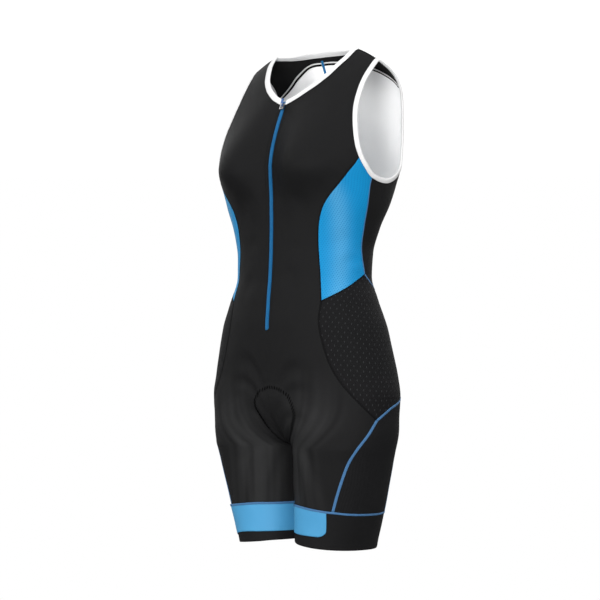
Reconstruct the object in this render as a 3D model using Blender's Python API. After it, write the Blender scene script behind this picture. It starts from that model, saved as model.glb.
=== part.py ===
import math

import bmesh
import bpy
from mathutils import Matrix, Vector
from mathutils.bvhtree import BVHTree

# Sizes in millimetres, heights measured up from the hem; meshes are written in metres
CLOTH = 1.2            # wall of the stretch cloth
SEAM_GAP = 0.3         # space between two pieces that are sewn together
ON_CLOTH = 0.3         # space between the cloth and what lies on it
CROTCH = 168.0         # height of the crotch point
CHEST = 638.0          # height where the body sections start to close over the shoulders
TOP = 860.0            # height of the shoulder line carried in to the centre
SHOULDER_DEPTH = 26.0  # how far the shoulder line lies behind the side seam line
SHOULDER_FALL = 0.0022  # drop of the shoulder line, times the square of the width
FRONT_BEND, BACK_BEND, SPINE_BEND = 1.45, 9.0, 3.2   # how late each wall turns in to the shoulder line
STOOP = 44.0           # how far the middle of the upper back leans forward to the neck
LEG_SQUARENESS = 2.15
HOLD_HEIGHT = 830.0    # level of the shoulder seams, where the wearer holds the suit up
RISE_FRONT, RISE_BACK = 95.0, 120.0   # height over which the legs join into the hips

ZIP_BOTTOM = 365.0     # level of the zip's lower end
ZIP_SLOT = 3.8         # half width of the opening that the zip fills
ZIP_RIDGE = 3.3        # half width of the row of teeth
ZIP_TAPE = 9.0         # half width of the tape behind the front edges
ZIP_TAPE_WALL = 1.0
ZIP_PROUD = 1.0        # how far the teeth stand out of the cloth
BINDING_WALL = 1.0
BINDING_REACH = 8.0    # how far the binding laps on to the cloth
LEAF_SPREAD = 0.3      # how far the binding's leaves lift towards their edges
PATCH_WALL = 1.0
TAPE_HALF = 2.5        # half width of the tape on the centre back seam
TAPE_WALL = 0.8
PIPING_WIDTH = 2.4
PIPING_WALL = 0.8
PAD_THICK, PAD_EDGE = 6.0, 1.6
SLIDER_LEVEL = 706.0
TAB_LEAN = 10.0        # degrees that the pull tab leans out from the cloth

# Torso sections: height, half width, reach to the front, reach to the back, squareness
TORSO = [
    (150, 177, 94, 76, 2.2),
    (200, 185, 94, 80, 2.3),
    (250, 188, 95, 88, 2.3),
    (290, 180, 97, 92, 2.3),
    (330, 171, 100, 88, 2.25),
    (370, 161, 101, 84, 2.2),
    (412, 145, 98, 77, 2.15),
    (455, 130, 93, 76, 2.1),
    (495, 131, 91, 82, 2.1),
    (536, 141, 90, 94, 2.15),
    (577, 154, 90, 112, 2.3),
    (610, 161, 91, 123, 2.4),
    (640, 166, 92, 130, 2.5),
    (700, 168, 93, 136, 2.55),
    (860, 168, 93, 136, 2.55),
]
# Leg sections: height, inner side, outer side, centre depth, reach to the front, to the back
LEG = [
    (-20, 1.0, 121, 10, 82, 71),
    (0, 1.0, 124, 10, 83, 74),
    (30, 1.0, 133, 10, 84, 74),
    (65, 1.0, 144, 9, 86, 73),
    (110, 1.0, 156, 8, 90, 74),
    (145, 1.0, 166, 6, 91, 74),
    (160, 0.6, 171, 5, 92, 74),
    (168, 0.0, 174, 4, 92, 75),
    (200, 0.0, 180, 4, 94, 84),
    (300, 0.0, 176, 4, 98, 98),
]
# Fullness: height, degrees round from the front, reach, spread in degrees, height up, height down
BUST = (634.0, 34.0, 35.0, 24.0, 62.0, 42.0)
SEAT = (262.0, 150.0, 9.0, 22.0, 60.0, 55.0)

# Seams: turn (0 centre front or front of the inseam, 0.5 side, 1 centre back), level
NECK_FRONT = [(0.2545, 860), (0.2420, 804), (0.2283, 784), (0.2092, 765.5), (0.1893, 752.7),
              (0.1470, 737), (0.0855, 723.2), (0.0389, 717), (0, 713.5)]
NECK_BACK = [(0.8049, 860), (0.8133, 843), (0.8429, 825.6), (0.8860, 814.7), (0.9420, 808.2), (1, 806)]
SHOULDER_FRONT = [(0.2545, 860), (0.3100, 860), (0.3630, 860)]
SHOULDER_BACK = [(0.6883, 860), (0.7480, 860), (0.8049, 860)]
ARMHOLE_FRONT = [(0.3630, 860), (0.3605, 806), (0.3560, 764), (0.3595, 727), (0.3680, 704.5),
                 (0.3870, 676), (0.4110, 652.5)]
ARMHOLE_LOW = [(0.4110, 652.5), (0.4340, 636.2), (0.4615, 622.5)]
ARMHOLE_UNDER = [(0.4615, 622.5), (0.5050, 616), (0.5500, 616.5), (0.5950, 625), (0.6380, 640)]
ARMHOLE_BACK = [(0.6798, 758.8), (0.6827, 725.1), (0.6820, 688.2), (0.6690, 659.6), (0.6380, 640)]
ARMHOLE_YOKE = [(0.6883, 860), (0.6860, 812), (0.6826, 782.3), (0.6798, 758.8)]
YOKE_ARCH = [(0.6798, 758.8), (0.7090, 768), (0.7390, 775.3), (0.7705, 781), (0.8045, 785),
             (0.8750, 785.5), (0.9420, 784.6), (1, 783.2)]
CENTRE_YOKE = [(1, 806), (1, 783.2)]
CENTRE_BACK = [(1, 783.2), (1, 640), (1, 500), (1, 395)]
SIDE_FRONT = [(0.4110, 652.5), (0.3983, 643.9), (0.3702, 624.2), (0.3430, 604.6), (0.3143, 585.3),
              (0.2926, 565.7), (0.2818, 542.1), (0.2802, 518.2), (0.2840, 488.1), (0.2900, 451.8),
              (0.2887, 411.6)]
SIDE_BACK = [(0.4615, 622.5), (0.4563, 598), (0.4654, 542.7), (0.4719, 508.9), (0.4817, 482.9),
             (0.4980, 456.7)]
BACK_DART = [(0.6380, 640), (0.6400, 540), (0.6450, 424)]
WAIST_SIDE = [(0.2887, 411.6), (0.3900, 432), (0.4980, 456.7)]
WAIST_BACK_SIDE = [(0.4980, 456.7), (0.5539, 439), (0.6450, 424)]
WAIST_BACK = [(0.6450, 424), (0.7300, 413), (0.8500, 401), (1, 395)]
HIP_FRONT = [(0.2887, 411.6), (0.2764, 382.1), (0.2799, 362), (0.2898, 341.8), (0.3066, 315),
             (0.3288, 291.6), (0.3578, 268.3), (0.3901, 246.7), (0.4178, 229.9), (0.4450, 215.4)]
HIP_BACK = [(0.6450, 424), (0.6420, 360), (0.6430, 300), (0.6420, 256)]
FLATLOCK_TOP = [(0.4450, 215.4), (0.4952, 234.4), (0.5600, 247), (0.6105, 253.5), (0.6420, 256)]
FLATLOCK = [(0.4450, 215.4), (0.4180, 190.6), (0.3877, 166.8), (0.3661, 144.7), (0.3516, 118.3),
            (0.3394, 90), (0.3297, 62)]
WEDGE_BACK = [(0.6420, 256), (0.6284, 224), (0.6130, 181), (0.6067, 148.8), (0.6000, 100), (0.5960, 56)]
BAND_TOP_FRONT = [(0, 71), (0.1485, 70), (0.2068, 69.4), (0.3032, 63.4), (0.3297, 62)]
BAND_TOP_SIDE = [(0.3297, 62), (0.3825, 58.6), (0.4500, 56.5), (0.5300, 55.5), (0.5960, 56)]
BAND_TOP_BACK = [(0.5960, 56), (0.7500, 58), (0.8800, 65), (1, 71)]
HEM = [(0, 8), (0.1500, 7), (0.2170, 4), (0.2930, 0), (0.3700, -3), (0.4700, -5), (0.6000, -6),
       (0.7000, -4), (0.8500, 2), (1, 8)]
# Blue piece on each hem band: the turn where it ends, the level of its lower edge there and in front
PATCH_LEFT = (0.311, 24.0, 24.0)
PATCH_RIGHT = (0.440, 12.0, 23.0)
# Outline of the seat pad: turn and level, front half from the top and back half from the crotch
PAD_FRONT = [(0.035, 268), (0.085, 259), (0.115, 240), (0.112, 218), (0.090, 196), (0.055, 172), (0, 152)]
PAD_BACK = [(1, 152), (0.945, 172), (0.905, 200), (0.885, 235), (0.885, 268), (0.910, 296), (0.960, 306)]


def smooth(low, high, value):
    t = min(max((value - low) / (high - low), 0.0), 1.0)
    return t * t * (3 - 2 * t)


def section(table, column, height):
    # Value of one column at a height, eased so that it never overshoots the table
    last = len(table) - 1
    height = min(max(height, table[0][0]), table[last][0])
    i = 0
    while i < last - 1 and height > table[i + 1][0]:
        i += 1
    span = table[i + 1][0] - table[i][0]
    t = (height - table[i][0]) / span

    def slope(k):
        if k == 0 or k == last:
            return 0.0
        before = (table[k][column] - table[k - 1][column]) / (table[k][0] - table[k - 1][0])
        after = (table[k + 1][column] - table[k][column]) / (table[k + 1][0] - table[k][0])
        return 0.0 if before * after <= 0 else 2 * before * after / (before + after)

    a, b = table[i][column], table[i + 1][column]
    return ((2 * t ** 3 - 3 * t * t + 1) * a + (t ** 3 - 2 * t * t + t) * slope(i) * span
            + (3 * t * t - 2 * t ** 3) * b + (t ** 3 - t * t) * slope(i + 1) * span)


def fullness(shape, degrees, height):
    centre, turn, reach, spread, up, down = shape
    tall = up if height > centre else down
    return reach * math.exp(-((height - centre) / tall) ** 2 - ((degrees - turn) / spread) ** 2)


def torso(turn, height):
    angle = math.pi * turn
    degrees = math.degrees(angle)
    wide, front, back, square = (section(TORSO, c, height) for c in (1, 2, 3, 4))
    deep = front if turn < 0.5 else back
    r = ((abs(math.sin(angle)) / wide) ** square + (abs(math.cos(angle)) / deep) ** square) ** (-1 / square)
    r += fullness(BUST, degrees, height) * smooth(-14, 30, degrees) + fullness(SEAT, degrees, height)
    return r * math.sin(angle), -r * math.cos(angle)


def leg(turn, height):
    angle = 2 * math.pi * turn
    inner, outer, middle, front, back = (section(LEG, c, height) for c in (1, 2, 3, 4, 5))
    wide, deep = (outer - inner) / 2, front if turn < 0.5 else back
    r = ((abs(math.sin(angle)) / deep) ** LEG_SQUARENESS
         + (abs(math.cos(angle)) / wide) ** LEG_SQUARENESS) ** (-1 / LEG_SQUARENESS)
    return (inner + outer) / 2 - r * math.cos(angle), middle - r * math.sin(angle)


def surface(turn, level):
    # Outside of the suit on the wearer's left half
    if level <= CROTCH:
        x, y = leg(turn, level)
        return Vector((x, y, level))
    if level <= CHEST:
        rise = RISE_FRONT + (RISE_BACK - RISE_FRONT) * smooth(0.35, 0.65, turn)
        part = min((level - CROTCH) / rise, 1.0)
        angle = part * math.pi / 2
        x, y = torso(turn, level)
        legX, legY = leg(turn, level)
        hips = math.sin(angle)
        droop = rise * (1 - math.cos(angle) - part) * (1 - smooth(0, 0.22, min(turn, 1 - turn)))
        return Vector((x * hips + legX * (1 - hips), y * hips + legY * (1 - hips), level + droop))
    up = math.sin(math.pi / 2 * min((level - CHEST) / (TOP - CHEST), 1.0))
    x, y = torso(turn, level)
    behind = smooth(0.38, 0.62, turn)
    power = (FRONT_BEND + (BACK_BEND - FRONT_BEND) * behind
             - (BACK_BEND - SPINE_BEND) * smooth(0.62, 0.97, turn))
    ease = 0.85 + 0.10 * behind
    reach = (1 - min(up, 1.0) ** power) ** ease if up < 1 else 0.0
    shoulder = TOP - SHOULDER_FALL * x * x
    lean = STOOP * smooth(0.73, 0.98, turn) * math.sin(math.pi * min(up, 1.0) ** 1.3)
    return Vector((x, SHOULDER_DEPTH + (y - SHOULDER_DEPTH) * reach - lean, CHEST + (shoulder - CHEST) * up))


def outward(turn, level):
    # Direction out of the cloth
    onCentre = turn < 1e-6 or turn > 1 - 1e-6
    if abs(level - TOP) < 1e-6:
        x = surface(turn, level).x
        return Vector((2 * SHOULDER_FALL * x, 0, 1)).normalized()
    if onCentre and abs(level - CROTCH) < 1e-6:
        return Vector((-1, 0, -1)).normalized()
    a, b = max(turn - 0.002, 0.0), min(turn + 0.002, 1.0)
    low, high = max(level - 0.8, -20.0), min(level + 0.8, TOP)
    if level > CROTCH:
        low = max(low, CROTCH)
    round_ = surface(b, level) - surface(a, level)
    n = round_.cross(surface(turn, high) - surface(turn, low))
    if onCentre and level > CROTCH:
        n.x = 0.0
    return n.normalized()


def seamLine(points, count, before=None, after=None):
    # Smooth line through the points, cut into equal steps; before and after are the points that a
    # neighbouring line goes on to, so that the two run into each other without a corner
    steps = 24
    line = [Vector(points[0])]
    for i in range(len(points) - 1):
        b, c = Vector(points[i]), Vector(points[i + 1])
        a = Vector(points[i - 1]) if i > 0 else Vector(before) if before else 2 * b - c
        d = Vector(points[i + 2]) if i < len(points) - 2 else Vector(after) if after else 2 * c - b
        for k in range(1, steps + 1):
            t = k / steps
            line.append(0.5 * ((2 * b) + (c - a) * t + (2 * a - 5 * b + 4 * c - d) * t * t
                               + (3 * b - a - 3 * c + d) * t ** 3))
    far = [0.0]
    for p, q in zip(line, line[1:]):
        far.append(far[-1] + (surface(*q) - surface(*p)).length)
    out, k = [], 0
    for i in range(count + 1):
        want = far[-1] * i / count
        while k < len(far) - 2 and far[k + 1] < want:
            k += 1
        t = (want - far[k]) / max(far[k + 1] - far[k], 1e-9)
        out.append(line[k].lerp(line[k + 1], min(max(t, 0.0), 1.0)))
    out[0], out[-1] = Vector(points[0]), Vector(points[-1])
    return out


def joined(*lines):
    out = list(lines[0])
    for line in lines[1:]:
        out += line[1:]
    return out


def patchGrid(left, right, top, bottom, fade=3):
    # Rows run down, columns run from the front to the back; the bend of the top and of the
    # bottom dies away into the rows
    rows, cols = len(left) - 1, len(top) - 1
    grid = []
    for i in range(rows + 1):
        b = i / rows
        line = []
        for j in range(cols + 1):
            a = j / cols
            p = (left[i].lerp(right[i], a) + (top[j] - top[0].lerp(top[-1], a)) * (1 - b) ** fade
                 + (bottom[j] - bottom[0].lerp(bottom[-1], a)) * b ** fade)
            line.append(Vector((min(max(p.x, 0.0), 1.0), p.y)))
        grid.append(line)
    for i in range(rows + 1):
        grid[i][0], grid[i][-1] = left[i], right[i]
    grid[0], grid[-1] = list(top), list(bottom)
    return grid


def keyOf(p):
    return (round(p.x, 5), round(p.y, 2))


def panel(blocks, slot=False):
    # One cut piece: its outside points, its directions out and its faces
    index, points, normals, keys, faces = {}, [], [], [], []
    for grid in blocks:
        for line in grid:
            for p in line:
                if keyOf(p) not in index:
                    index[keyOf(p)] = len(points)
                    points.append(surface(p.x, p.y))
                    normals.append(outward(p.x, p.y))
                    keys.append(p)
        for i in range(len(grid) - 1):
            for j in range(len(grid[0]) - 1):
                quad = [grid[i][j], grid[i + 1][j], grid[i + 1][j + 1], grid[i][j + 1]]
                face = []
                for p in quad:
                    k = index[keyOf(p)]
                    if k not in face:
                        face.append(k)
                if len(face) > 2:
                    faces.append(face)
    used = {}
    for face in faces:
        for a, b in zip(face, face[1:] + face[:1]):
            used[(a, b)] = face
    rim = {a: b for (a, b) in used if (b, a) not in used}
    back = {b: a for a, b in rim.items()}
    moved, inward = list(points), {}
    for k in rim:
        ahead = (points[rim[k]] - points[k]).normalized()
        behind = (points[k] - points[back[k]]).normalized()
        inA, inB = normals[k].cross(ahead), normals[k].cross(behind)
        both = inA.normalized() + inB.normalized()
        share = max(both.length / 2, 0.4)
        inward[k] = both.normalized()
        moved[k] = points[k] + inward[k] * (SEAM_GAP / 2 / share)
    for k, p in enumerate(keys):
        onCentre = (p.x < 1e-6 or p.x > 1 - 1e-6) and p.y >= CROTCH
        if onCentre:
            wide = ZIP_SLOT if slot and p.x < 0.5 and p.y > ZIP_BOTTOM + 1 else SEAM_GAP / 2
            moved[k] = Vector((max(moved[k].x, wide), moved[k].y, moved[k].z))
    near = {}
    for face in faces:
        for a, b in zip(face, face[1:] + face[:1]):
            near.setdefault(a, set()).add(b)
            near.setdefault(b, set()).add(a)
    return {"points": moved, "normals": normals, "faces": faces, "rim": rim, "index": index,
            "inward": inward, "near": near, "blocks": blocks}


def centreSafe(p, side):
    # Nothing crosses the middle of the body
    return Vector((side * max(p.x, SEAM_GAP / 2), p.y, p.z))


def toMetres(p):
    return (p.x / 1000, (p.y - SHOULDER_DEPTH) / 1000, (p.z - HOLD_HEIGHT) / 1000)


def makeObject(name, points, faces, material):
    mesh = bpy.data.meshes.new(name)
    mesh.from_pydata([toMetres(p) for p in points], [], faces)
    bm = bmesh.new()
    bm.from_mesh(mesh)
    bmesh.ops.remove_doubles(bm, verts=bm.verts, dist=0.00001)
    bmesh.ops.recalc_face_normals(bm, faces=bm.faces)
    if bm.calc_volume(signed=True) < 0:
        bmesh.ops.reverse_faces(bm, faces=bm.faces)
    bm.to_mesh(mesh)
    bm.free()
    mesh.materials.append(material)
    for poly in mesh.polygons:
        poly.use_smooth = False
    ob = bpy.data.objects.new(name, mesh)
    collection.objects.link(ob)
    return ob


def wallFaces(faces, rim, count):
    out = [list(f) for f in faces]
    out += [[k + count for k in reversed(f)] for f in faces]
    out += [[b, a, a + count, b + count] for a, b in rim.items()]
    return out


def sewPanel(name, piece, side, material, wall=CLOTH):
    points, normals = piece["points"], piece["normals"]
    inner = [p - n * wall for p, n in zip(points, normals)]
    every = [centreSafe(p, side) for p in points + inner]
    return makeObject(name, every, wallFaces(piece["faces"], piece["rim"], len(points)), material)


def facetTree(pieces):
    points, faces = [], []
    for piece in pieces:
        start = len(points)
        points += piece["points"]
        faces += [[k + start for k in f] for f in piece["faces"]]
    return BVHTree.FromPolygons([tuple(p) for p in points], faces)


def onCloth(tree, p):
    # Nearest place on the cloth and the direction out there
    return tree.find_nearest(p)[:2]


def edgePath(piece, line):
    # Edge points of a piece along a seam, each with its neighbours on the piece
    out = []
    for p in line:
        k = piece["index"][keyOf(p)]
        around = [(piece["points"][n], piece["normals"][n]) for n in sorted(piece["near"][k])]
        out.append((piece["points"][k], piece["normals"][k], piece["inward"][k], around))
    return out


def bindingRings(path, tree, closed):
    # Folded strip over a raw edge: two leaves that lap on to the cloth and a fold round the edge
    count = len(path)
    gap, wall = ON_CLOTH, BINDING_WALL
    low, high = -CLOTH - gap, gap
    rings = []
    for k, (edge, out, way, around) in enumerate(path):
        before = path[(k - 1) % count if closed else max(k - 1, 0)][0]
        after = path[(k + 1) % count if closed else min(k + 1, count - 1)][0]
        inward = out.cross(after - before).normalized()
        if inward.dot(way) < 0:
            inward = -inward
        # The leaves follow the piece's own line that runs in from the edge, or its faces where
        # that line runs aslant
        place, facing = max(around, key=lambda n: (n[0] - edge).normalized().dot(inward))
        line = place - edge
        share = min(BINDING_REACH / max(line.dot(inward), 1.0), 0.98)
        end, endOut = edge.lerp(place, share), out.lerp(facing, share)
        mid, midOut = edge.lerp(place, share / 2), out.lerp(facing, share / 2)
        aslant = (line - inward * line.dot(inward)).length / line.dot(inward)
        if aslant > 1.4:
            end, endOut = onCloth(tree, edge + inward * BINDING_REACH)
            mid, midOut = onCloth(tree, edge + inward * BINDING_REACH / 2)
        spread = LEAF_SPREAD + 1.1 * min(aslant, 1.0)
        rings.append([end + endOut * (high + wall + spread), mid + midOut * (high + wall + spread / 2),
                      edge - inward * 0.1 + out * (high + wall),
                      edge - inward * (gap + wall) + out * (-CLOTH / 2),
                      edge - inward * 0.1 + out * (low - wall),
                      mid + midOut * (low - wall - spread / 2), end + endOut * (low - wall - spread),
                      end + endOut * (low - spread), mid + midOut * (low - spread / 2),
                      edge - inward * gap + out * low, edge - inward * gap + out * high,
                      mid + midOut * (high + spread / 2), end + endOut * (high + spread)])
    return rings


def sweepRings(name, rings, closed, side, material):
    size = len(rings[0])
    points = [Vector((side * p.x, p.y, p.z)) for ring in rings for p in ring]
    faces = []
    last = len(rings) if closed else len(rings) - 1
    for i in range(last):
        a, b = i * size, ((i + 1) % len(rings)) * size
        for k in range(size):
            n = (k + 1) % size
            faces.append([a + k, a + n, b + n, b + k])
    if not closed:
        faces.append(list(range(size)))
        faces.append([(len(rings) - 1) * size + k for k in reversed(range(size))])
    return makeObject(name, points, faces, material)


def onGrid(piece, block, row, column):
    # Place and direction out at a row and a column of a piece's grid, parts of one allowed
    grid = piece["blocks"][block]
    i, j = min(int(row), len(grid) - 2), min(int(column), len(grid[0]) - 2)
    a, b = row - i, column - j
    place, out = Vector(), Vector()
    corners = ((i, j, (1 - a) * (1 - b)), (i + 1, j, a * (1 - b)), (i, j + 1, (1 - a) * b),
               (i + 1, j + 1, a * b))
    for down, across, share in corners:
        k = piece["index"][keyOf(grid[down][across])]
        place += piece["points"][k] * share
        out += piece["normals"][k] * share
    return place, out


def layOn(name, piece, block, cells, side, material, low, high):
    # Thin piece that lies on the cloth, made from the cloth's own points
    over, under = [], []
    for line in cells:
        for row, column in line:
            place, out = onGrid(piece, block, row, column)
            over.append(place + out * high)
            under.append(place + out * low)
    faces, rim = gridFaces(len(cells), len(cells[0]))
    points = [Vector((side * max(p.x, SEAM_GAP), p.y, p.z)) for p in over + under]
    return makeObject(name, points, wallFaces(faces, rim, len(over)), material)


def gridFaces(rows, cols):
    faces = []
    for i in range(rows - 1):
        for j in range(cols - 1):
            a = i * cols + j
            faces.append([a, a + cols, a + cols + 1, a + 1])
    used = {(a, b) for f in faces for a, b in zip(f, f[1:] + f[:1])}
    return faces, {a: b for (a, b) in used if (b, a) not in used}


def clothMaterial(name, colour, rough):
    material = bpy.data.materials.new(name)
    material.use_nodes = True
    shader = material.node_tree.nodes["Principled BSDF"]
    shader.inputs["Base Color"].default_value = (*colour, 1)
    shader.inputs["Roughness"].default_value = rough
    material.diffuse_color = (*colour, 1)
    return material


def prism(outline, low, high):
    # Closed prism along x from an outline in y and z
    count = len(outline)
    points = [Vector((low, y, z)) for y, z in outline] + [Vector((high, y, z)) for y, z in outline]
    faces = [list(range(count)), [count + k for k in reversed(range(count))]]
    faces += [[k, (k + 1) % count, count + (k + 1) % count, count + k] for k in range(count)]
    return points, faces


for ob in list(bpy.data.objects):
    bpy.data.objects.remove(ob, do_unlink=True)
for extra in list(bpy.data.collections):
    bpy.data.collections.remove(extra)
collection = bpy.data.collections.new("cycling_suit")
bpy.context.scene.collection.children.link(collection)

# Seam lines, each cut once and shared by the two pieces that meet there
neckFront = seamLine(NECK_FRONT, 10)
zipLine = seamLine([(0, 713.5), (0, 600), (0, 480), (0, ZIP_BOTTOM + 2)], 18)
frontRise = ([Vector((0, ZIP_BOTTOM + 2))]
             + seamLine([(0, ZIP_BOTTOM - 4), (0, 300), (0, 240), (0, 200), (0, CROTCH)], 10))
inseam = seamLine([(0, CROTCH), (0, 120), (0, 71)], 7)
backInseam = [Vector((1, p.y)) for p in inseam]
shoulderFront = seamLine(SHOULDER_FRONT, 10)
armholeFront = seamLine(ARMHOLE_FRONT, 12, None, ARMHOLE_LOW[1])
sideFront = seamLine(SIDE_FRONT, 13)
hipFront = seamLine(HIP_FRONT, 12)
flatlock = seamLine(FLATLOCK, 9)
bandTopFront = seamLine(BAND_TOP_FRONT, 10)
armholeLow = seamLine(ARMHOLE_LOW, 5, ARMHOLE_FRONT[-2], ARMHOLE_UNDER[1])
sideBack = seamLine(SIDE_BACK, 13)
waistSide = seamLine(WAIST_SIDE, 5)
armholeUnder = seamLine(ARMHOLE_UNDER, 6, ARMHOLE_LOW[-2], ARMHOLE_BACK[-2])
backDart = seamLine(BACK_DART, 13)
waistBackSide = seamLine(WAIST_BACK_SIDE, 6)
armholeBack = seamLine(ARMHOLE_BACK, 7, ARMHOLE_YOKE[-2], ARMHOLE_UNDER[-2])
armholeYoke = seamLine(ARMHOLE_YOKE, 5, None, ARMHOLE_BACK[1])
yokeArch = seamLine(YOKE_ARCH, 10)
shoulderBack = seamLine(SHOULDER_BACK, 4)
neckBack = seamLine(NECK_BACK, 6)
centreYoke = seamLine(CENTRE_YOKE, 5)
centreBack = seamLine(CENTRE_BACK, 20)
waistBack = seamLine(WAIST_BACK, 10)
hipBack = seamLine(HIP_BACK, 12)
flatlockTop = seamLine(FLATLOCK_TOP, 11)
wedgeBack = seamLine(WEDGE_BACK, 9)
bandTopSide = seamLine(BAND_TOP_SIDE, 11)
bandTopBack = seamLine(BAND_TOP_BACK, 10)
seatRise = seamLine([(1, 395), (1, 330), (1, 270), (1, 215), (1, CROTCH)], 14)
hem = seamLine(HEM, 31)

cut = {
    "front_panel": panel([patchGrid(joined(neckFront, zipLine, frontRise, inseam),
                                    joined(armholeFront, sideFront, hipFront, flatlock),
                                    shoulderFront, bandTopFront)], slot=True),
    "side_panel": panel([patchGrid(sideFront, sideBack, armholeLow, waistSide)]),
    "back_panel": panel([patchGrid(sideBack, backDart, armholeUnder, waistBackSide),
                         patchGrid(joined(armholeBack, backDart), centreBack, yokeArch, waistBack,
                                   fade=4)]),
    "back_yoke": panel([patchGrid(armholeYoke, centreYoke, joined(shoulderBack, neckBack), yokeArch,
                                 fade=1)]),
    "hip_panel": panel([patchGrid(hipFront, hipBack, joined(waistSide, waistBackSide), flatlockTop)]),
    "leg_side": panel([patchGrid(flatlock, wedgeBack, flatlockTop, bandTopSide)]),
    "seat_panel": panel([patchGrid(joined(hipBack, wedgeBack), joined(seatRise, backInseam),
                                   waistBack, bandTopBack)]),
    "hem_band": panel([patchGrid(seamLine([(0, 71), (0, 8)], 3), seamLine([(1, 71), (1, 8)], 3),
                                 joined(bandTopFront, bandTopSide, bandTopBack), hem)]),
}
black = clothMaterial("black_stretch", (0.017, 0.017, 0.018), 0.62)
cloths = {
    "front_panel": black,
    "side_panel": clothMaterial("blue_mesh", (0.07, 0.34, 0.72), 0.6),
    "back_panel": black,
    "back_yoke": black,
    "hip_panel": clothMaterial("black_mesh", (0.014, 0.014, 0.015), 0.7),
    "leg_side": clothMaterial("black_rib", (0.019, 0.019, 0.02), 0.65),
    "seat_panel": black,
    "hem_band": clothMaterial("black_band", (0.018, 0.018, 0.019), 0.6),
}
white = clothMaterial("white_binding", (0.85, 0.85, 0.85), 0.6)
blueTape = clothMaterial("blue_tape", (0.04, 0.24, 0.58), 0.55)
bluePatch = clothMaterial("blue_patch", (0.09, 0.36, 0.72), 0.6)
metal = clothMaterial("slider_metal", (0.3, 0.31, 0.33), 0.35)
metal.node_tree.nodes["Principled BSDF"].inputs["Metallic"].default_value = 1
tabPaint = clothMaterial("tab_paint", (0.02, 0.05, 0.16), 0.4)
padFoam = clothMaterial("seat_pad_cloth", (0.03, 0.03, 0.034), 0.8)

sides = (("L", 1), ("R", -1))
for name, piece in cut.items():
    for letter, side in sides:
        sewPanel(name + "_" + letter, piece, side, cloths[name])

# Bindings
armhole = (edgePath(cut["front_panel"], armholeFront) + edgePath(cut["side_panel"], armholeLow)[1:]
           + edgePath(cut["back_panel"], joined(armholeUnder, armholeBack[::-1]))[1:]
           + edgePath(cut["back_yoke"], armholeYoke[::-1])[1:-1])
upper = facetTree([cut[n] for n in ("front_panel", "side_panel", "back_panel", "back_yoke")])
rings = bindingRings(armhole, upper, True)
for letter, side in sides:
    sweepRings("armhole_binding_" + letter, rings, True, side, white)
neck = (edgePath(cut["front_panel"], neckFront[::-1]) + edgePath(cut["back_yoke"], neckBack)[1:])
rings = bindingRings(neck, upper, False)
rings[0] = [Vector((max(p.x, ZIP_RIDGE + 0.4), p.y, p.z)) for p in rings[0]]
rings[-1] = [Vector((0, p.y, p.z)) for p in rings[-1]]
rings += [[Vector((-p.x, p.y, p.z)) for p in ring] for ring in rings[-2::-1]]
sweepRings("neck_binding", rings, False, 1, white)

# Zip: a row of teeth that stands in the slot and a tape behind the front edges
zipRings = []
for k, p in enumerate(zipLine[:-1] + [Vector((0, ZIP_BOTTOM + 1)), Vector((0, ZIP_BOTTOM - 1))]):
    place, out = surface(p.x, p.y), outward(0, p.y)
    ridge = ZIP_RIDGE if p.y > ZIP_BOTTOM + 4 else (2.9 if p.y > ZIP_BOTTOM else 1.7)
    tape = ZIP_TAPE if p.y < 700 else ridge + 0.1
    under = CLOTH + ON_CLOTH
    outline = [(-ridge, ZIP_PROUD), (ridge, ZIP_PROUD), (ridge, -under), (tape, -under),
               (tape, -under - ZIP_TAPE_WALL), (-tape, -under - ZIP_TAPE_WALL), (-tape, -under),
               (-ridge, -under)]
    zipRings.append([Vector((x, place.y, place.z)) + out * high for x, high in outline])
sweepRings("zip", zipRings, False, 1, blueTape)

# Slider at the top of the zip, with a crown that holds the pull tab
place, out = surface(0, SLIDER_LEVEL), outward(0, SLIDER_LEVEL)
along = Vector((1, 0, 0)).cross(out) * -1
if along.z < 0:
    along = -along
base = place + out * (ZIP_PROUD + ON_CLOTH)


def onSlider(points):
    return [Vector((p.x, 0, 0)) + base + out * p.y + along * p.z for p in points]


plate, plateFaces = prism([(0, -5), (0.6, -6), (2.4, -5.2), (2.4, 5.2), (0.6, 6), (0, 5)], -4.2, 4.2)
slider = makeObject("zip_slider", onSlider(plate), plateFaces, metal)
crown, crownFaces = prism([(1.8, -4.2), (5.6, -3.4), (5.6, 3.4), (1.8, 4.2), (1.8, 2.9), (4.5, 2.3),
                           (4.5, -2.3), (1.8, -2.9)], -1.0, 1.0)
tools = bpy.data.collections.new("tools")
bpy.context.scene.collection.children.link(tools)
crownTool = makeObject("crown_tool", onSlider(crown), crownFaces, metal)
collection.objects.unlink(crownTool)
tools.objects.link(crownTool)
crownTool.hide_render = True
crownTool.display_type = "WIRE"
weld = slider.modifiers.new("crown", "BOOLEAN")
weld.operation = "UNION"
weld.solver = "EXACT"
weld.object = crownTool

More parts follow.
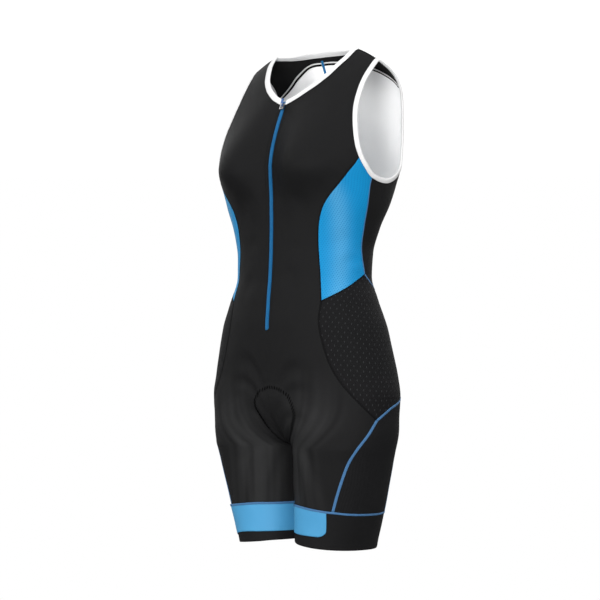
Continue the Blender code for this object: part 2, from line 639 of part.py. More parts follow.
# Pull tab: a bar that turns in the crown, two arms and a flat grip
pivot = Vector((0, 3.45, 0))
lean = math.radians(TAB_LEAN)
tabShape = [(-2.5, -0.55), (-2.5, 12.5), (-1.7, 13.3), (1.7, 13.3), (2.5, 12.5), (2.5, -0.55)]
window = [(-1.4, 0.55), (-1.4, 4.9), (1.4, 4.9), (1.4, 0.55)]
half = 0.5
loops = [[(x, h, u) for x, u in shape] for shape in (tabShape, window) for h in (-half, half)]
points = [p for loop in loops for p in loop]
o0, o1, w0, w1 = 0, 6, 12, 16
faces = [[o0 + k, o0 + (k + 1) % 6, o1 + (k + 1) % 6, o1 + k] for k in range(6)]
faces += [[w0 + (k + 1) % 4, w0 + k, w1 + k, w1 + (k + 1) % 4] for k in range(4)]
for o, w in ((o0, w0), (o1, w1)):
    faces += [[o, o + 1, w + 1, w], [o + 1, o + 2, o + 3, o + 4, w + 2, w + 1],
              [o + 4, o + 5, w + 3, w + 2], [o + 5, o, w, w + 3]]
turned = []
for x, h, u in points:
    turned.append(Vector((x, pivot.y + h * math.cos(lean) + u * math.sin(lean),
                          pivot.z - h * math.sin(lean) + u * math.cos(lean))))
tab = makeObject("zip_pull", onSlider(turned), faces, tabPaint)
hinge = toMetres(onSlider([pivot])[0])
tab.data.transform(Matrix.Translation(-Vector(hinge)))
tab.location = hinge

# Tape down the centre back seam, inside
tapeRings = []
for p in joined(centreYoke[4:], centreBack[:-1]):
    place, out = surface(1, p.y), outward(1, p.y)
    low, high = -CLOTH - ON_CLOTH - TAPE_WALL, -CLOTH - ON_CLOTH
    tapeRings.append([Vector((x, place.y, place.z)) + out * h for x, h in
                      ((-TAPE_HALF, high), (TAPE_HALF, high), (TAPE_HALF, low), (-TAPE_HALF, low))])
sweepRings("back_tape", tapeRings, False, 1, blueTape)

# White and black piping under the yoke seam, inside
rowHeight = (onGrid(cut["back_panel"], 1, 1, 5)[0] - onGrid(cut["back_panel"], 1, 0, 5)[0]).length
columns = [0.95] + list(range(1, 10)) + [9.8]
for name, cord, first in (("yoke_piping", white, 0.4), ("yoke_edge", black, 3.2)):
    cells = [[(down / rowHeight, c) for c in columns] for down in (first, first + PIPING_WIDTH)]
    for letter, side in sides:
        layOn(name + "_" + letter, cut["back_panel"], 1, cells, side, cord,
              -CLOTH - ON_CLOTH - 0.5 - PIPING_WALL, -CLOTH - ON_CLOTH - 0.5)

# Blue piece on the front and the inner side of each hem band
for (letter, side), (end, endLow, frontLow) in zip(sides, (PATCH_LEFT, PATCH_RIGHT)):
    turns = [p.x for p in cut["hem_band"]["blocks"][0][0]]
    whole = max(k for k, turn in enumerate(turns) if turn < end)
    last = whole + (end - turns[whole]) / (turns[whole + 1] - turns[whole])
    columns = [0.3] + [c for c in range(1, whole + 1) if c < last - 0.7]
    columns += [last - 0.6, last - 0.35, last - 0.15, last - 0.04, last]
    lows = []
    for c in columns:
        level = frontLow + (endLow - frontLow) * smooth(0.5, 1.0, c / last)
        near = max(0.0, 1 - (last - c) / 0.6)
        lows.append((71 - level - 8 * (1 - math.sqrt(max(0.0, 1 - near * near)))) / 21)
    cells = [[(share * low if share < 1 else low, c) for c, low in zip(columns, lows)]
             for share in (0.03, 0.45, 0.8, 1)]
    layOn("band_patch_" + letter, cut["hem_band"], 0, cells, side, bluePatch,
          ON_CLOTH + 0.55, ON_CLOTH + 0.55 + PATCH_WALL)

# Seat pad inside the crotch, one piece across the middle
rowsFront, rowsBack, across = 9, 9, 4
outerFront, outerBack = seamLine(PAD_FRONT, rowsFront), seamLine(PAD_BACK, rowsBack)
middleFront = seamLine([(0, 268), (0, 220), (0, CROTCH)], rowsFront)
middleBack = seamLine([(1, CROTCH), (1, 230), (1, 306)], rowsBack)
pairs = list(zip(middleFront, outerFront)) + list(zip(middleBack, outerBack))[1:]
crotchTree = facetTree([cut["front_panel"], cut["seat_panel"]])
over, under = [], []
for i, (middle, outer) in enumerate(pairs):
    nearCrotch = math.exp(-((i - rowsFront) / 4.0) ** 2)
    for j in range(-across, across + 1):
        share = abs(j) / across
        p = middle.lerp(outer, share)
        place, out = onCloth(crotchTree, surface(*p))[0], outward(*p)
        if j == 0 and i == rowsFront:
            out = Vector((0, 0, -1))
        gap = CLOTH + 0.8 + 2.8 * nearCrotch * (1 - 0.3 * share)
        edge = share == 1 or i in (0, len(pairs) - 1)
        thick = PAD_EDGE if edge else PAD_THICK
        low, high = place - out * gap, place - out * (gap + thick)
        flip = -1 if j < 0 else 1
        if j == 0:
            low.x = high.x = 0
        over.append(Vector((flip * low.x, low.y, low.z)))
        under.append(Vector((flip * high.x, high.y, high.z)))
faces, rim = gridFaces(len(pairs), 2 * across + 1)
makeObject("seat_pad", over + under, wallFaces(faces, rim, len(over)), padFoam)
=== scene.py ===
import math

import bmesh
import bpy
import numpy as np
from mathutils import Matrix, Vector, kdtree


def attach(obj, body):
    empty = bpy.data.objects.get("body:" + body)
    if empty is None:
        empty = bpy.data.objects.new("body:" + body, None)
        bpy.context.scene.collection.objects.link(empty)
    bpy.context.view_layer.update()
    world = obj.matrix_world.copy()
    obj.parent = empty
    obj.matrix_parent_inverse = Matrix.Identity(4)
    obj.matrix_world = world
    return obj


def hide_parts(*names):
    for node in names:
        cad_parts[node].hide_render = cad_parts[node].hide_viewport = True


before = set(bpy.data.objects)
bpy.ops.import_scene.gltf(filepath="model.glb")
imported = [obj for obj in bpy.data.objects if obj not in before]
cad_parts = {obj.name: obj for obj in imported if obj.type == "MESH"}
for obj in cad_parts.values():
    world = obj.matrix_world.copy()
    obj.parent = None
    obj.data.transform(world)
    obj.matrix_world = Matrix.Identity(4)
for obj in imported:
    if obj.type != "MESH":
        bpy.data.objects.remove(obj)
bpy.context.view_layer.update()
scene = bpy.context.scene
print("frame loaded")

# Camera at the photograph's angle, a little below the waist and level
cameraView = {"place": (2.0569, -2.4773, -0.466), "turn": 40.0, "lens": 111.9, "shift": (-0.0092, 0.05)}
cameraData = bpy.data.cameras.new("suitCamera")
cameraData.lens = cameraView["lens"]
cameraData.sensor_width = 36.0
cameraData.shift_x, cameraData.shift_y = cameraView["shift"]
camera = bpy.data.objects.new("suitCamera", cameraData)
camera.location = cameraView["place"]
camera.rotation_euler = (math.radians(90), 0, math.radians(cameraView["turn"]))
scene.collection.objects.link(camera)
scene.camera = camera

# The suit's form in millimetres, heights up from the hem, the same cut as the solids
form = {"crotch": 168.0, "chest": 638.0, "top": 860.0, "lowest": -20.0, "shoulderDepth": 26.0,
        "shoulderFall": 0.0022, "holdHeight": 830.0, "riseFront": 95.0, "riseBack": 120.0, "legSquare": 2.15,
        "crotchWidth": 0.22, "bends": (1.45, 9.0, 3.2), "reachPower": (0.85, 0.10), "stoop": 44.0,
        "stoopPower": 1.3, "density": 4, "wall": 1.2, "edgeDip": 0.45, "edgeWidth": 1.1, "edgeBack": 0.12}
blends = {"rise": (0.35, 0.65), "behind": (0.38, 0.62), "spine": (0.62, 0.97), "stoop": (0.73, 0.98)}  # turns
torsoRings = np.array([  # height, half width, to the front, to the back, squareness
    (150, 177, 94, 76, 2.2), (200, 185, 94, 80, 2.3), (250, 188, 95, 88, 2.3), (290, 180, 97, 92, 2.3),
    (330, 171, 100, 88, 2.25), (370, 161, 101, 84, 2.2), (412, 145, 98, 77, 2.15), (455, 130, 93, 76, 2.1),
    (495, 131, 91, 82, 2.1), (536, 141, 90, 94, 2.15), (577, 154, 90, 112, 2.3), (610, 161, 91, 123, 2.4),
    (640, 166, 92, 130, 2.5), (700, 168, 93, 136, 2.55), (860, 168, 93, 136, 2.55)], float)
legRings = np.array([  # height, inner side, outer side, centre depth, to the front, to the back
    (-20, 1.0, 121, 10, 82, 71), (0, 1.0, 124, 10, 83, 74), (30, 1.0, 133, 10, 84, 74),
    (65, 1.0, 144, 9, 86, 73), (110, 1.0, 156, 8, 90, 74), (145, 1.0, 166, 6, 91, 74),
    (160, 0.6, 171, 5, 92, 74), (168, 0.0, 174, 4, 92, 75), (200, 0.0, 180, 4, 94, 84),
    (300, 0.0, 176, 4, 98, 98)], float)
bustFullness = (634.0, 34.0, 35.0, 24.0, 62.0, 42.0)  # height, degrees round, reach, spread, up, down
seatFullness = (262.0, 150.0, 9.0, 22.0, 60.0, 55.0)


def smoothStep(low, high, value):
    t = np.clip((value - low) / (high - low), 0.0, 1.0)
    return t * t * (3 - 2 * t)


def readColumn(table, index, height):
    rows, values = table[:, 0], table[:, index]
    step = np.diff(rows)
    rise = np.diff(values) / step
    slope = np.zeros(len(rows))
    a, b = rise[:-1], rise[1:]
    same = a * b > 0
    slope[1:-1][same] = 2 * a[same] * b[same] / (a[same] + b[same])
    h = np.clip(height, rows[0], rows[-1])
    i = np.clip(np.searchsorted(rows, h, side="left") - 1, 0, len(rows) - 2)
    t = (h - rows[i]) / step[i]
    return ((2 * t ** 3 - 3 * t * t + 1) * values[i] + (t ** 3 - 2 * t * t + t) * slope[i] * step[i]
            + (3 * t * t - 2 * t ** 3) * values[i + 1] + (t ** 3 - t * t) * slope[i + 1] * step[i])


def fullness(shape, degrees, height):
    centre, turn, reach, spread, up, down = shape
    tall = np.where(height > centre, up, down)
    return reach * np.exp(-((height - centre) / tall) ** 2 - ((degrees - turn) / spread) ** 2)


def torsoRing(turn, height):
    angle = np.pi * turn
    degrees = np.degrees(angle)
    wide, front, back, square = (readColumn(torsoRings, c, height) for c in (1, 2, 3, 4))
    deep = np.where(turn < 0.5, front, back)
    r = ((np.abs(np.sin(angle)) / wide) ** square + (np.abs(np.cos(angle)) / deep) ** square) ** (-1 / square)
    r = r + fullness(bustFullness, degrees, height) * smoothStep(-14, 30, degrees)
    r = r + fullness(seatFullness, degrees, height)
    return r * np.sin(angle), -r * np.cos(angle)


def legRing(turn, height):
    angle = 2 * np.pi * turn
    inner, outer, middle, front, back = (readColumn(legRings, c, height) for c in (1, 2, 3, 4, 5))
    wide, deep, square = (outer - inner) / 2, np.where(turn < 0.5, front, back), form["legSquare"]
    r = ((np.abs(np.sin(angle)) / deep) ** square + (np.abs(np.cos(angle)) / wide) ** square) ** (-1 / square)
    return (inner + outer) / 2 - r * np.cos(angle), middle - r * np.sin(angle)


# Places on the suit are (turn, level): turn runs from 0 at the centre front to 1 at the centre back
def suitSurface(turn, level):  # outside of the wearer's left half, in millimetres
    turn, level = np.broadcast_arrays(np.asarray(turn, float), np.asarray(level, float))
    crotch, chest, top = form["crotch"], form["chest"], form["top"]
    legX, legY = legRing(turn, level)
    x, y = torsoRing(turn, level)
    rise = form["riseFront"] + (form["riseBack"] - form["riseFront"]) * smoothStep(*blends["rise"], turn)
    share = np.clip((level - crotch) / rise, 0.0, 1.0)
    hips = np.sin(share * np.pi / 2)
    middle = 1 - smoothStep(0, form["crotchWidth"], np.minimum(turn, 1 - turn))
    droop = rise * (1 - np.cos(share * np.pi / 2) - share) * middle
    hip = np.stack([x * hips + legX * (1 - hips), y * hips + legY * (1 - hips), level + droop], -1)
    up = np.sin(np.pi / 2 * np.clip((level - chest) / (top - chest), 0.0, 1.0))
    behind = smoothStep(*blends["behind"], turn)
    frontBend, backBend, spineBend = form["bends"]
    power = (frontBend + (backBend - frontBend) * behind
             - (backBend - spineBend) * smoothStep(*blends["spine"], turn))
    inFront, moreBehind = form["reachPower"]
    reach = np.where(up < 1, np.maximum(1 - up ** power, 0.0) ** (inFront + moreBehind * behind), 0.0)
    depth, shoulder = form["shoulderDepth"], top - form["shoulderFall"] * x * x
    lean = (form["stoop"] * smoothStep(*blends["stoop"], turn)
            * np.sin(np.pi * np.minimum(up, 1.0) ** form["stoopPower"]))
    upper = np.stack([x, depth + (y - depth) * reach - lean, chest + (shoulder - chest) * up], -1)
    thigh = np.stack([legX, legY, level], -1)
    level = level[..., None]
    return np.where(level <= crotch, thigh, np.where(level <= chest, hip, upper))


def unit(vectors):
    return vectors / np.maximum(np.linalg.norm(vectors, axis=-1, keepdims=True), 1e-9)


def lengthsAlong(points, axis=0):  # running length from the first point
    steps = np.linalg.norm(np.diff(points, axis=axis), axis=-1)
    start = np.zeros_like(np.take(steps, [0], axis=axis))
    return np.concatenate([start, np.cumsum(steps, axis=axis)], axis=axis)


def suitOutward(turn, level):
    turn, level = np.broadcast_arrays(np.asarray(turn, float), np.asarray(level, float))
    crotch, top = form["crotch"], form["top"]
    onCentre = (turn < 1e-6) | (turn > 1 - 1e-6)
    low, high = np.maximum(level - 0.8, form["lowest"]), np.minimum(level + 0.8, top)
    low = np.where(level > crotch, np.maximum(low, crotch), low)
    around = (suitSurface(np.minimum(turn + 0.002, 1.0), level)
              - suitSurface(np.maximum(turn - 0.002, 0.0), level))
    n = np.cross(around, suitSurface(turn, high) - suitSurface(turn, low))
    n[..., 0] = np.where(onCentre & (level > crotch), 0.0, n[..., 0])
    x = suitSurface(turn, level)[..., 0]
    ridge = np.stack([2 * form["shoulderFall"] * x, 0 * x, 1 + 0 * x], -1)
    n = np.where((np.abs(level - top) < 1e-6)[..., None], ridge, n)
    seat = np.broadcast_to(np.array([-1.0, 0.0, -1.0]), n.shape)
    n = np.where((onCentre & (np.abs(level - crotch) < 1e-6))[..., None], seat, n)
    return unit(n)


# Lengths round and up the cloth, for the grain of the knits and the reach of the folds
mapTurns, mapLevels = np.linspace(0, 1, 161), np.linspace(-12, form["top"], 219)
mapPoints = suitSurface(mapTurns[None, :], mapLevels[:, None])
aroundMap, upMap = lengthsAlong(mapPoints, 1), lengthsAlong(mapPoints, 0)


def readMap(table, turn, level):
    a = np.clip((turn - mapTurns[0]) / (mapTurns[1] - mapTurns[0]), 0, len(mapTurns) - 1.001)
    b = np.clip((level - mapLevels[0]) / (mapLevels[1] - mapLevels[0]), 0, len(mapLevels) - 1.001)
    i, j = b.astype(int), a.astype(int)
    s, t = b - i, a - j
    return ((table[i, j] * (1 - t) + table[i, j + 1] * t) * (1 - s)
            + (table[i + 1, j] * (1 - t) + table[i + 1, j + 1] * t) * s)


folds = {"scale": 1.7, "bow": 5.0, "bank": 0.38, "bankAt": 1.9, "fade": (0.12, 0.76, 1.3),
         "ripples": (0.22, 0.16)}
padShow = {"centre": 222.0, "lift": 3.8, "dome": (0.70, 1.08), "groove": 0.25, "grooveAt": 1.05,
           "grooveWidth": 0.07, "turnTo": 0.3, "levelFrom": 150}
# Folds laid one by one: (turn, level) of the two ends, depth and half width in millimetres; minus is a trough
foldsLeft = [
    (0.045, 262, 0.200, 300, -1.6, 10), (0.060, 240, 0.230, 262, -1.3, 9), (0.055, 215, 0.215, 214, -1.5, 8),
    (0.100, 190, 0.250, 150, -0.9, 11), (0.130, 230, 0.260, 200, 0.8, 12), (0.160, 90, 0.190, 190, 0.7, 12),
    (0.300, 80, 0.270, 200, -0.7, 12), (0.220, 110, 0.225, 240, 0.8, 14), (0.060, 455, 0.170, 440, -0.8, 9),
    (0.080, 480, 0.200, 500, -0.6, 10), (0.150, 592, 0.200, 560, -0.8, 12), (0.330, 640, 0.400, 610, -0.8, 8),
    (0.390, 470, 0.460, 480, -0.7, 8), (0.330, 500, 0.430, 520, -0.5, 10), (0.700, 470, 0.960, 455, -1.2, 9),
    (0.740, 500, 0.930, 494, -0.8, 8), (0.760, 215, 0.940, 190, -1.6, 10), (0.800, 240, 0.950, 232, -1.0, 9),
    (0.750, 640, 0.880, 600, -0.8, 14), (0.700, 170, 0.860, 150, -1.0, 10),
    (0.260, 735, 0.310, 690, -0.7, 12), (0.170, 216, 0.035, 176, -2.0, 8), (0.155, 82, 0.125, 200, 1.0, 9),
    (0.265, 90, 0.235, 190, 0.9, 9),
]
foldsRight = [
    (0.040, 270, 0.190, 316, -1.4, 11), (0.055, 246, 0.240, 276, -1.5, 8), (0.060, 222, 0.200, 226, -1.1, 9),
    (0.110, 196, 0.240, 140, -1.0, 10), (0.140, 236, 0.250, 214, 0.9, 12), (0.190, 84, 0.230, 200, 0.9, 13),
    (0.270, 90, 0.250, 210, -0.7, 12), (0.060, 440, 0.190, 426, -0.7, 10), (0.070, 492, 0.180, 508, -0.7, 9),
    (0.140, 590, 0.210, 556, -0.9, 12), (0.340, 644, 0.410, 606, -0.8, 8), (0.360, 486, 0.450, 492, -0.6, 9),
    (0.720, 462, 0.960, 448, -1.1, 10), (0.730, 492, 0.940, 486, -0.9, 8), (0.740, 220, 0.930, 198, -1.5, 10),
    (0.790, 246, 0.950, 240, -1.1, 8), (0.740, 650, 0.870, 616, -0.7, 14), (0.690, 160, 0.850, 146, -0.9, 10),
    (0.100, 226, 0.022, 182, -1.8, 7), (0.170, 100, 0.150, 230, 0.9, 8), (0.270, 96, 0.300, 225, 1.0, 9),
]
padFront = [(0.035, 268), (0.085, 259), (0.115, 240), (0.112, 218), (0.090, 196), (0.055, 172), (0, 152)]
padBack = [(1, 152), (0.945, 172), (0.905, 200), (0.885, 235), (0.885, 268), (0.910, 296), (0.960, 306)]
imprintLeft = [(0, 268.5), (0.035, 268), (0.085, 264), (0.123, 257), (0.148, 247), (0.163, 235), (0.160, 219),
               (0.135, 200), (0.090, 182), (0.045, 167), (0, 156)]  # where the pad shows through the front
imprintRight = [(0, 268.5), (0.037, 265), (0.082, 259), (0.107, 249), (0.107, 238), (0.092, 228),
                (0.072, 215), (0.052, 198), (0.028, 178), (0, 156)]


def clothPlane(turn, level):  # flat place on the cloth, in millimetres
    return np.stack([readMap(aroundMap, turn, level), readMap(upMap, turn, level)], -1)


def padLift(turn, level, side, here):  # the pad's swelling through the front
    outline = imprintLeft if side > 0 else imprintRight
    edge = clothPlane(*(np.array(c, float) for c in zip(*outline)))
    centre = clothPlane(np.array(0.0), np.array(padShow["centre"]))
    r = np.linalg.norm(edge - centre, axis=1)
    bearing = np.arctan2(edge[:, 1] - centre[1], edge[:, 0] - centre[0])
    order = np.argsort(bearing)
    limit = np.interp(np.arctan2(here[..., 1] - centre[1], here[..., 0] - centre[0]), bearing[order],
                      r[order])
    share = np.linalg.norm(here - centre, axis=-1) / limit
    dome = padShow["lift"] * (1 - smoothStep(*padShow["dome"], share))
    groove = padShow["groove"] * np.exp(-((share - padShow["grooveAt"]) / padShow["grooveWidth"]) ** 2)
    return (dome - groove) * (turn < padShow["turnTo"]) * (level > padShow["levelFrom"])


def foldLift(turn, level, side):
    here = clothPlane(turn, level)
    lift = np.zeros(turn.shape)
    start, spread, power = folds["fade"]
    for turnA, levelA, turnB, levelB, depth, half in (foldsLeft if side > 0 else foldsRight):
        a = clothPlane(np.array(turnA), np.array(float(levelA)))
        along = clothPlane(np.array(turnB), np.array(float(levelB))) - a
        t = np.clip(((here - a) @ along) / (along @ along), 0, 1)
        bow = folds["bow"] * np.sin(np.pi * t)[..., None] * np.array([-along[1], along[0]])
        far = np.linalg.norm(here - a - t[..., None] * along - bow / np.linalg.norm(along), axis=-1)
        fade = np.sin(np.pi * np.clip(start + spread * t, 0, 1)) ** power
        bank = folds["bank"] * np.exp(-((far - folds["bankAt"] * half) / half) ** 2)
        lift += depth * folds["scale"] * fade * (np.exp(-(far / half) ** 2) - bank)
    u, v = here[..., 0] / 1000, here[..., 1] / 1000
    big, small = folds["ripples"]
    lift += big * np.sin(61 * u + 23 * v + side) * np.sin(37 * v - 11 * u + 2 * side)
    lift += small * np.sin(118 * u - 47 * v + 1.7) * np.sin(83 * v + 0.6 * side)
    lift += padLift(turn, level, side, here)
    return lift * smoothStep(-5, 40, level)


def toMetres(points, side=1):
    return np.stack([points[..., 0] * side, points[..., 1] - form["shoulderDepth"],
                     points[..., 2] - form["holdHeight"]], -1) / 1000


def clothPlace(turn, level, side, lift=0.0):
    n = suitOutward(turn, level)
    return suitSurface(turn, level) + n * (foldLift(turn, level, side) + lift)[..., None], n


def seamLine(points, count, fine=True, before=None, after=None):  # smooth line in equal steps
    p = np.array(points, float)
    ends = np.vstack([before or 2 * p[0] - p[1], p, after or 2 * p[-1] - p[-2]])
    t = (np.arange(24) / 24)[:, None]
    line = []
    for i in range(len(p) - 1):
        a, b, c, d = ends[i:i + 4]
        line.append(0.5 * (2 * b + (c - a) * t + (2 * a - 5 * b + 4 * c - d) * t * t
                           + (3 * b - a - 3 * c + d) * t ** 3))
    line = np.vstack(line + [p[-1:]])
    far = lengthsAlong(suitSurface(*line.T))
    want = np.linspace(0, far[-1], count * (form["density"] if fine else 1) + 1)
    out = np.stack([np.interp(want, far, line[:, 0]), np.interp(want, far, line[:, 1])], -1)
    out[0], out[-1] = p[0], p[-1]
    return out


def joined(*lines):
    return np.vstack([lines[0]] + [line[1:] for line in lines[1:]])


def patchGrid(left, right, top, bottom, fade=3):
    b = np.linspace(0, 1, len(left))[:, None, None]
    a = np.linspace(0, 1, len(top))[None, :, None]
    grid = (left[:, None] * (1 - a) + right[:, None] * a
            + (top - (top[0] * (1 - a[0]) + top[-1] * a[0]))[None] * (1 - b) ** fade
            + (bottom - (bottom[0] * (1 - a[0]) + bottom[-1] * a[0]))[None] * b ** fade)
    grid[..., 0] = np.clip(grid[..., 0], 0, 1)
    grid[:, 0], grid[:, -1], grid[0], grid[-1] = left, right, top, bottom
    return grid


def withRims(grid):  # closer rows beside the seams
    for axis in (0, 1):
        g = np.moveaxis(grid, axis, 0)
        extra = [g[0] * (1 - s) + g[1] * s for s in (0.16, 0.42)]
        after = [g[-2] * (1 - s) + g[-1] * s for s in (0.58, 0.84)]
        g = np.concatenate([g[:1], np.stack(extra), g[1:-1], np.stack(after), g[-1:]])
        grid = np.moveaxis(g, 0, axis)
    return grid


neckFrontPoints = [(0.2545, 860), (0.2420, 804), (0.2283, 784), (0.2092, 765.5), (0.1893, 752.7),
                   (0.1470, 737), (0.0855, 723.2), (0.0389, 717), (0, 713.5)]
neckBackPoints = [(0.8049, 860), (0.8133, 843), (0.8429, 825.6), (0.8860, 814.7), (0.9420, 808.2), (1, 806)]
zipBottom, zipSlot = 365.0, 3.8
neckFront = seamLine(neckFrontPoints, 10)
zipLine = seamLine([(0, 713.5), (0, 600), (0, 480), (0, 367)], 18)
frontRise = joined(seamLine([(0, 367), (0, 361)], 1),
                   seamLine([(0, 361), (0, 300), (0, 240), (0, 200), (0, 168)], 10))
inseam = seamLine([(0, 168), (0, 120), (0, 71)], 7)
backInseam = np.stack([np.ones(len(inseam)), inseam[:, 1]], -1)
shoulderFront = seamLine([(0.2545, 860), (0.3100, 860), (0.3630, 860)], 10)
armholePoints = [(0.3630, 860), (0.3605, 806), (0.3560, 764), (0.3595, 727), (0.3680, 704.5), (0.3870, 676),
                 (0.4110, 652.5), (0.4340, 636.2), (0.4615, 622.5), (0.5050, 616), (0.5500, 616.5),
                 (0.5950, 625), (0.6380, 640), (0.6690, 659.6), (0.6820, 688.2), (0.6827, 725.1),
                 (0.6798, 758.8), (0.6826, 782.3), (0.6860, 812), (0.6883, 860)]


def armholePart(first, last, count):  # a stretch of the armhole, smooth into its neighbours
    step = 1 if first < last else -1
    stretch = [armholePoints[i] if 0 <= i < len(armholePoints) else None
               for i in range(first - step, last + 2 * step, step)]
    return seamLine(stretch[1:-1], count, before=stretch[0], after=stretch[-1])


armholeFront, armholeLow, armholeUnder = armholePart(0, 6, 12), armholePart(6, 8, 5), armholePart(8, 12, 6)
armholeBack, armholeYoke = armholePart(16, 12, 7), armholePart(19, 16, 5)
sideFront = seamLine([(0.4110, 652.5), (0.3983, 643.9), (0.3702, 624.2), (0.3430, 604.6), (0.3143, 585.3),
                      (0.2926, 565.7), (0.2818, 542.1), (0.2802, 518.2), (0.2840, 488.1), (0.2900, 451.8),
                      (0.2887, 411.6)], 13)
sideBack = seamLine([(0.4615, 622.5), (0.4563, 598), (0.4654, 542.7), (0.4719, 508.9), (0.4817, 482.9),
                     (0.4980, 456.7)], 13)
backDart = seamLine([(0.6380, 640), (0.6400, 540), (0.6450, 424)], 13)
waistSide = seamLine([(0.2887, 411.6), (0.3900, 432), (0.4980, 456.7)], 5)
waistBackSide = seamLine([(0.4980, 456.7), (0.5539, 439), (0.6450, 424)], 6)
waistBack = seamLine([(0.6450, 424), (0.7300, 413), (0.8500, 401), (1, 395)], 10)
yokeArch = seamLine([(0.6798, 758.8), (0.7090, 768), (0.7390, 775.3), (0.7705, 781), (0.8045, 785),
                     (0.8750, 785.5), (0.9420, 784.6), (1, 783.2)], 10)
shoulderBack = seamLine([(0.6883, 860), (0.7480, 860), (0.8049, 860)], 4)
neckBack = seamLine(neckBackPoints, 6)
centreYoke = seamLine([(1, 806), (1, 783.2)], 5)
centreBack = seamLine([(1, 783.2), (1, 640), (1, 500), (1, 395)], 20)
hipFront = seamLine([(0.2887, 411.6), (0.2764, 382.1), (0.2799, 362), (0.2898, 341.8), (0.3066, 315),
                     (0.3288, 291.6), (0.3578, 268.3), (0.3901, 246.7), (0.4178, 229.9), (0.4450, 215.4)], 12)
hipBack = seamLine([(0.6450, 424), (0.6420, 360), (0.6430, 300), (0.6420, 256)], 12)
flatlockTop = seamLine([(0.4450, 215.4), (0.4952, 234.4), (0.5600, 247), (0.6105, 253.5), (0.6420, 256)], 11)
flatlock = seamLine([(0.4450, 215.4), (0.4180, 190.6), (0.3877, 166.8), (0.3661, 144.7), (0.3516, 118.3),
                     (0.3394, 90), (0.3297, 62)], 9)
wedgeBack = seamLine([(0.6420, 256), (0.6284, 224), (0.6130, 181), (0.6067, 148.8), (0.6000, 100),
                      (0.5960, 56)], 9)
seatRise = seamLine([(1, 395), (1, 330), (1, 270), (1, 215), (1, 168)], 14)
bandTopFront = seamLine([(0, 71), (0.1485, 70), (0.2068, 69.4), (0.3032, 63.4), (0.3297, 62)], 10)
bandTopSide = seamLine([(0.3297, 62), (0.3825, 58.6), (0.4500, 56.5), (0.5300, 55.5), (0.5960, 56)], 11)
bandTopBack = seamLine([(0.5960, 56), (0.7500, 58), (0.8800, 65), (1, 71)], 10)
hem = seamLine([(0, 8), (0.1500, 7), (0.2170, 4), (0.2930, 0), (0.3700, -3), (0.4700, -5), (0.6000, -6),
                (0.7000, -4), (0.8500, 2), (1, 8)], 31)
bandTop = joined(bandTopFront, bandTopSide, bandTopBack)
bandGrid = patchGrid(seamLine([(0, 71), (0, 8)], 3), seamLine([(1, 71), (1, 8)], 3), bandTop, hem)
print("seam lines drawn")

# Node tools
def feed(tree, slot, value):  # links a socket, or sets a constant
    if isinstance(value, bpy.types.NodeSocket):
        tree.links.new(value, slot)
    else:
        slot.default_value = value


def newNode(tree, kind, inputs, **settings):
    node = tree.nodes.new("ShaderNode" + kind)
    for setting, value in settings.items():
        setattr(node, setting, value)
    for label, value in inputs.items():
        feed(tree, node.inputs[label], value)
    return node


def maths(tree, operation, *values):
    return newNode(tree, "Math", dict(enumerate(values)), operation=operation).outputs[0]


def sineOf(tree, value, turns=2 * math.pi):
    return maths(tree, "SINE", maths(tree, "MULTIPLY", value, turns))


def splitAxes(tree, vector):
    return newNode(tree, "SeparateXYZ", {0: vector}).outputs


def mapRange(tree, value, source, target, kind="SMOOTHSTEP"):
    return newNode(tree, "MapRange", {"Value": value, "From Min": source[0], "From Max": source[1],
                                      "To Min": target[0], "To Max": target[1]},
                   interpolation_type=kind).outputs[0]


def mixColour(tree, factor, first, second):
    return newNode(tree, "Mix", {0: factor, 6: first, 7: second}, data_type="RGBA").outputs[2]


def newGroup(name, sockets):
    group = bpy.data.node_groups.new(name, "ShaderNodeTree")
    for way, kind, label, value in sockets:
        socket = group.interface.new_socket(label, in_out=way, socket_type="NodeSocket" + kind)
        if value is not None:
            socket.default_value = value
    return group, group.nodes.new("NodeGroupInput"), group.nodes.new("NodeGroupOutput")


def placeGroup(tree, group, **values):
    node = tree.nodes.new("ShaderNodeGroup")
    node.node_tree = group
    for label, value in values.items():
        feed(tree, node.inputs[label.replace("_", " ")], value)
    return node


def buildKnit():  # fine loops of a knit: a height over the surface
    group, ins, outs = newGroup("knitLoops", [
        ("INPUT", "Vector", "Grain", None), ("INPUT", "Float", "Wale", 0.5),
        ("INPUT", "Float", "Course", 0.4), ("OUTPUT", "Float", "Height", None)])
    across, up = splitAxes(group, ins.outputs["Grain"])[:2]
    u = maths(group, "DIVIDE", across, ins.outputs["Wale"])
    v = maths(group, "DIVIDE", up, ins.outputs["Course"])
    wave = maths(group, "ABSOLUTE", sineOf(group, u, math.pi))
    lean = maths(group, "ABSOLUTE", maths(group, "SUBTRACT", maths(group, "FRACT", u), 0.5))
    loop = sineOf(group, maths(group, "ADD", v, lean))
    height = maths(group, "MULTIPLY", wave, maths(group, "MULTIPLY_ADD", loop, 0.4, 0.6))
    group.links.new(height, outs.inputs["Height"])
    return group


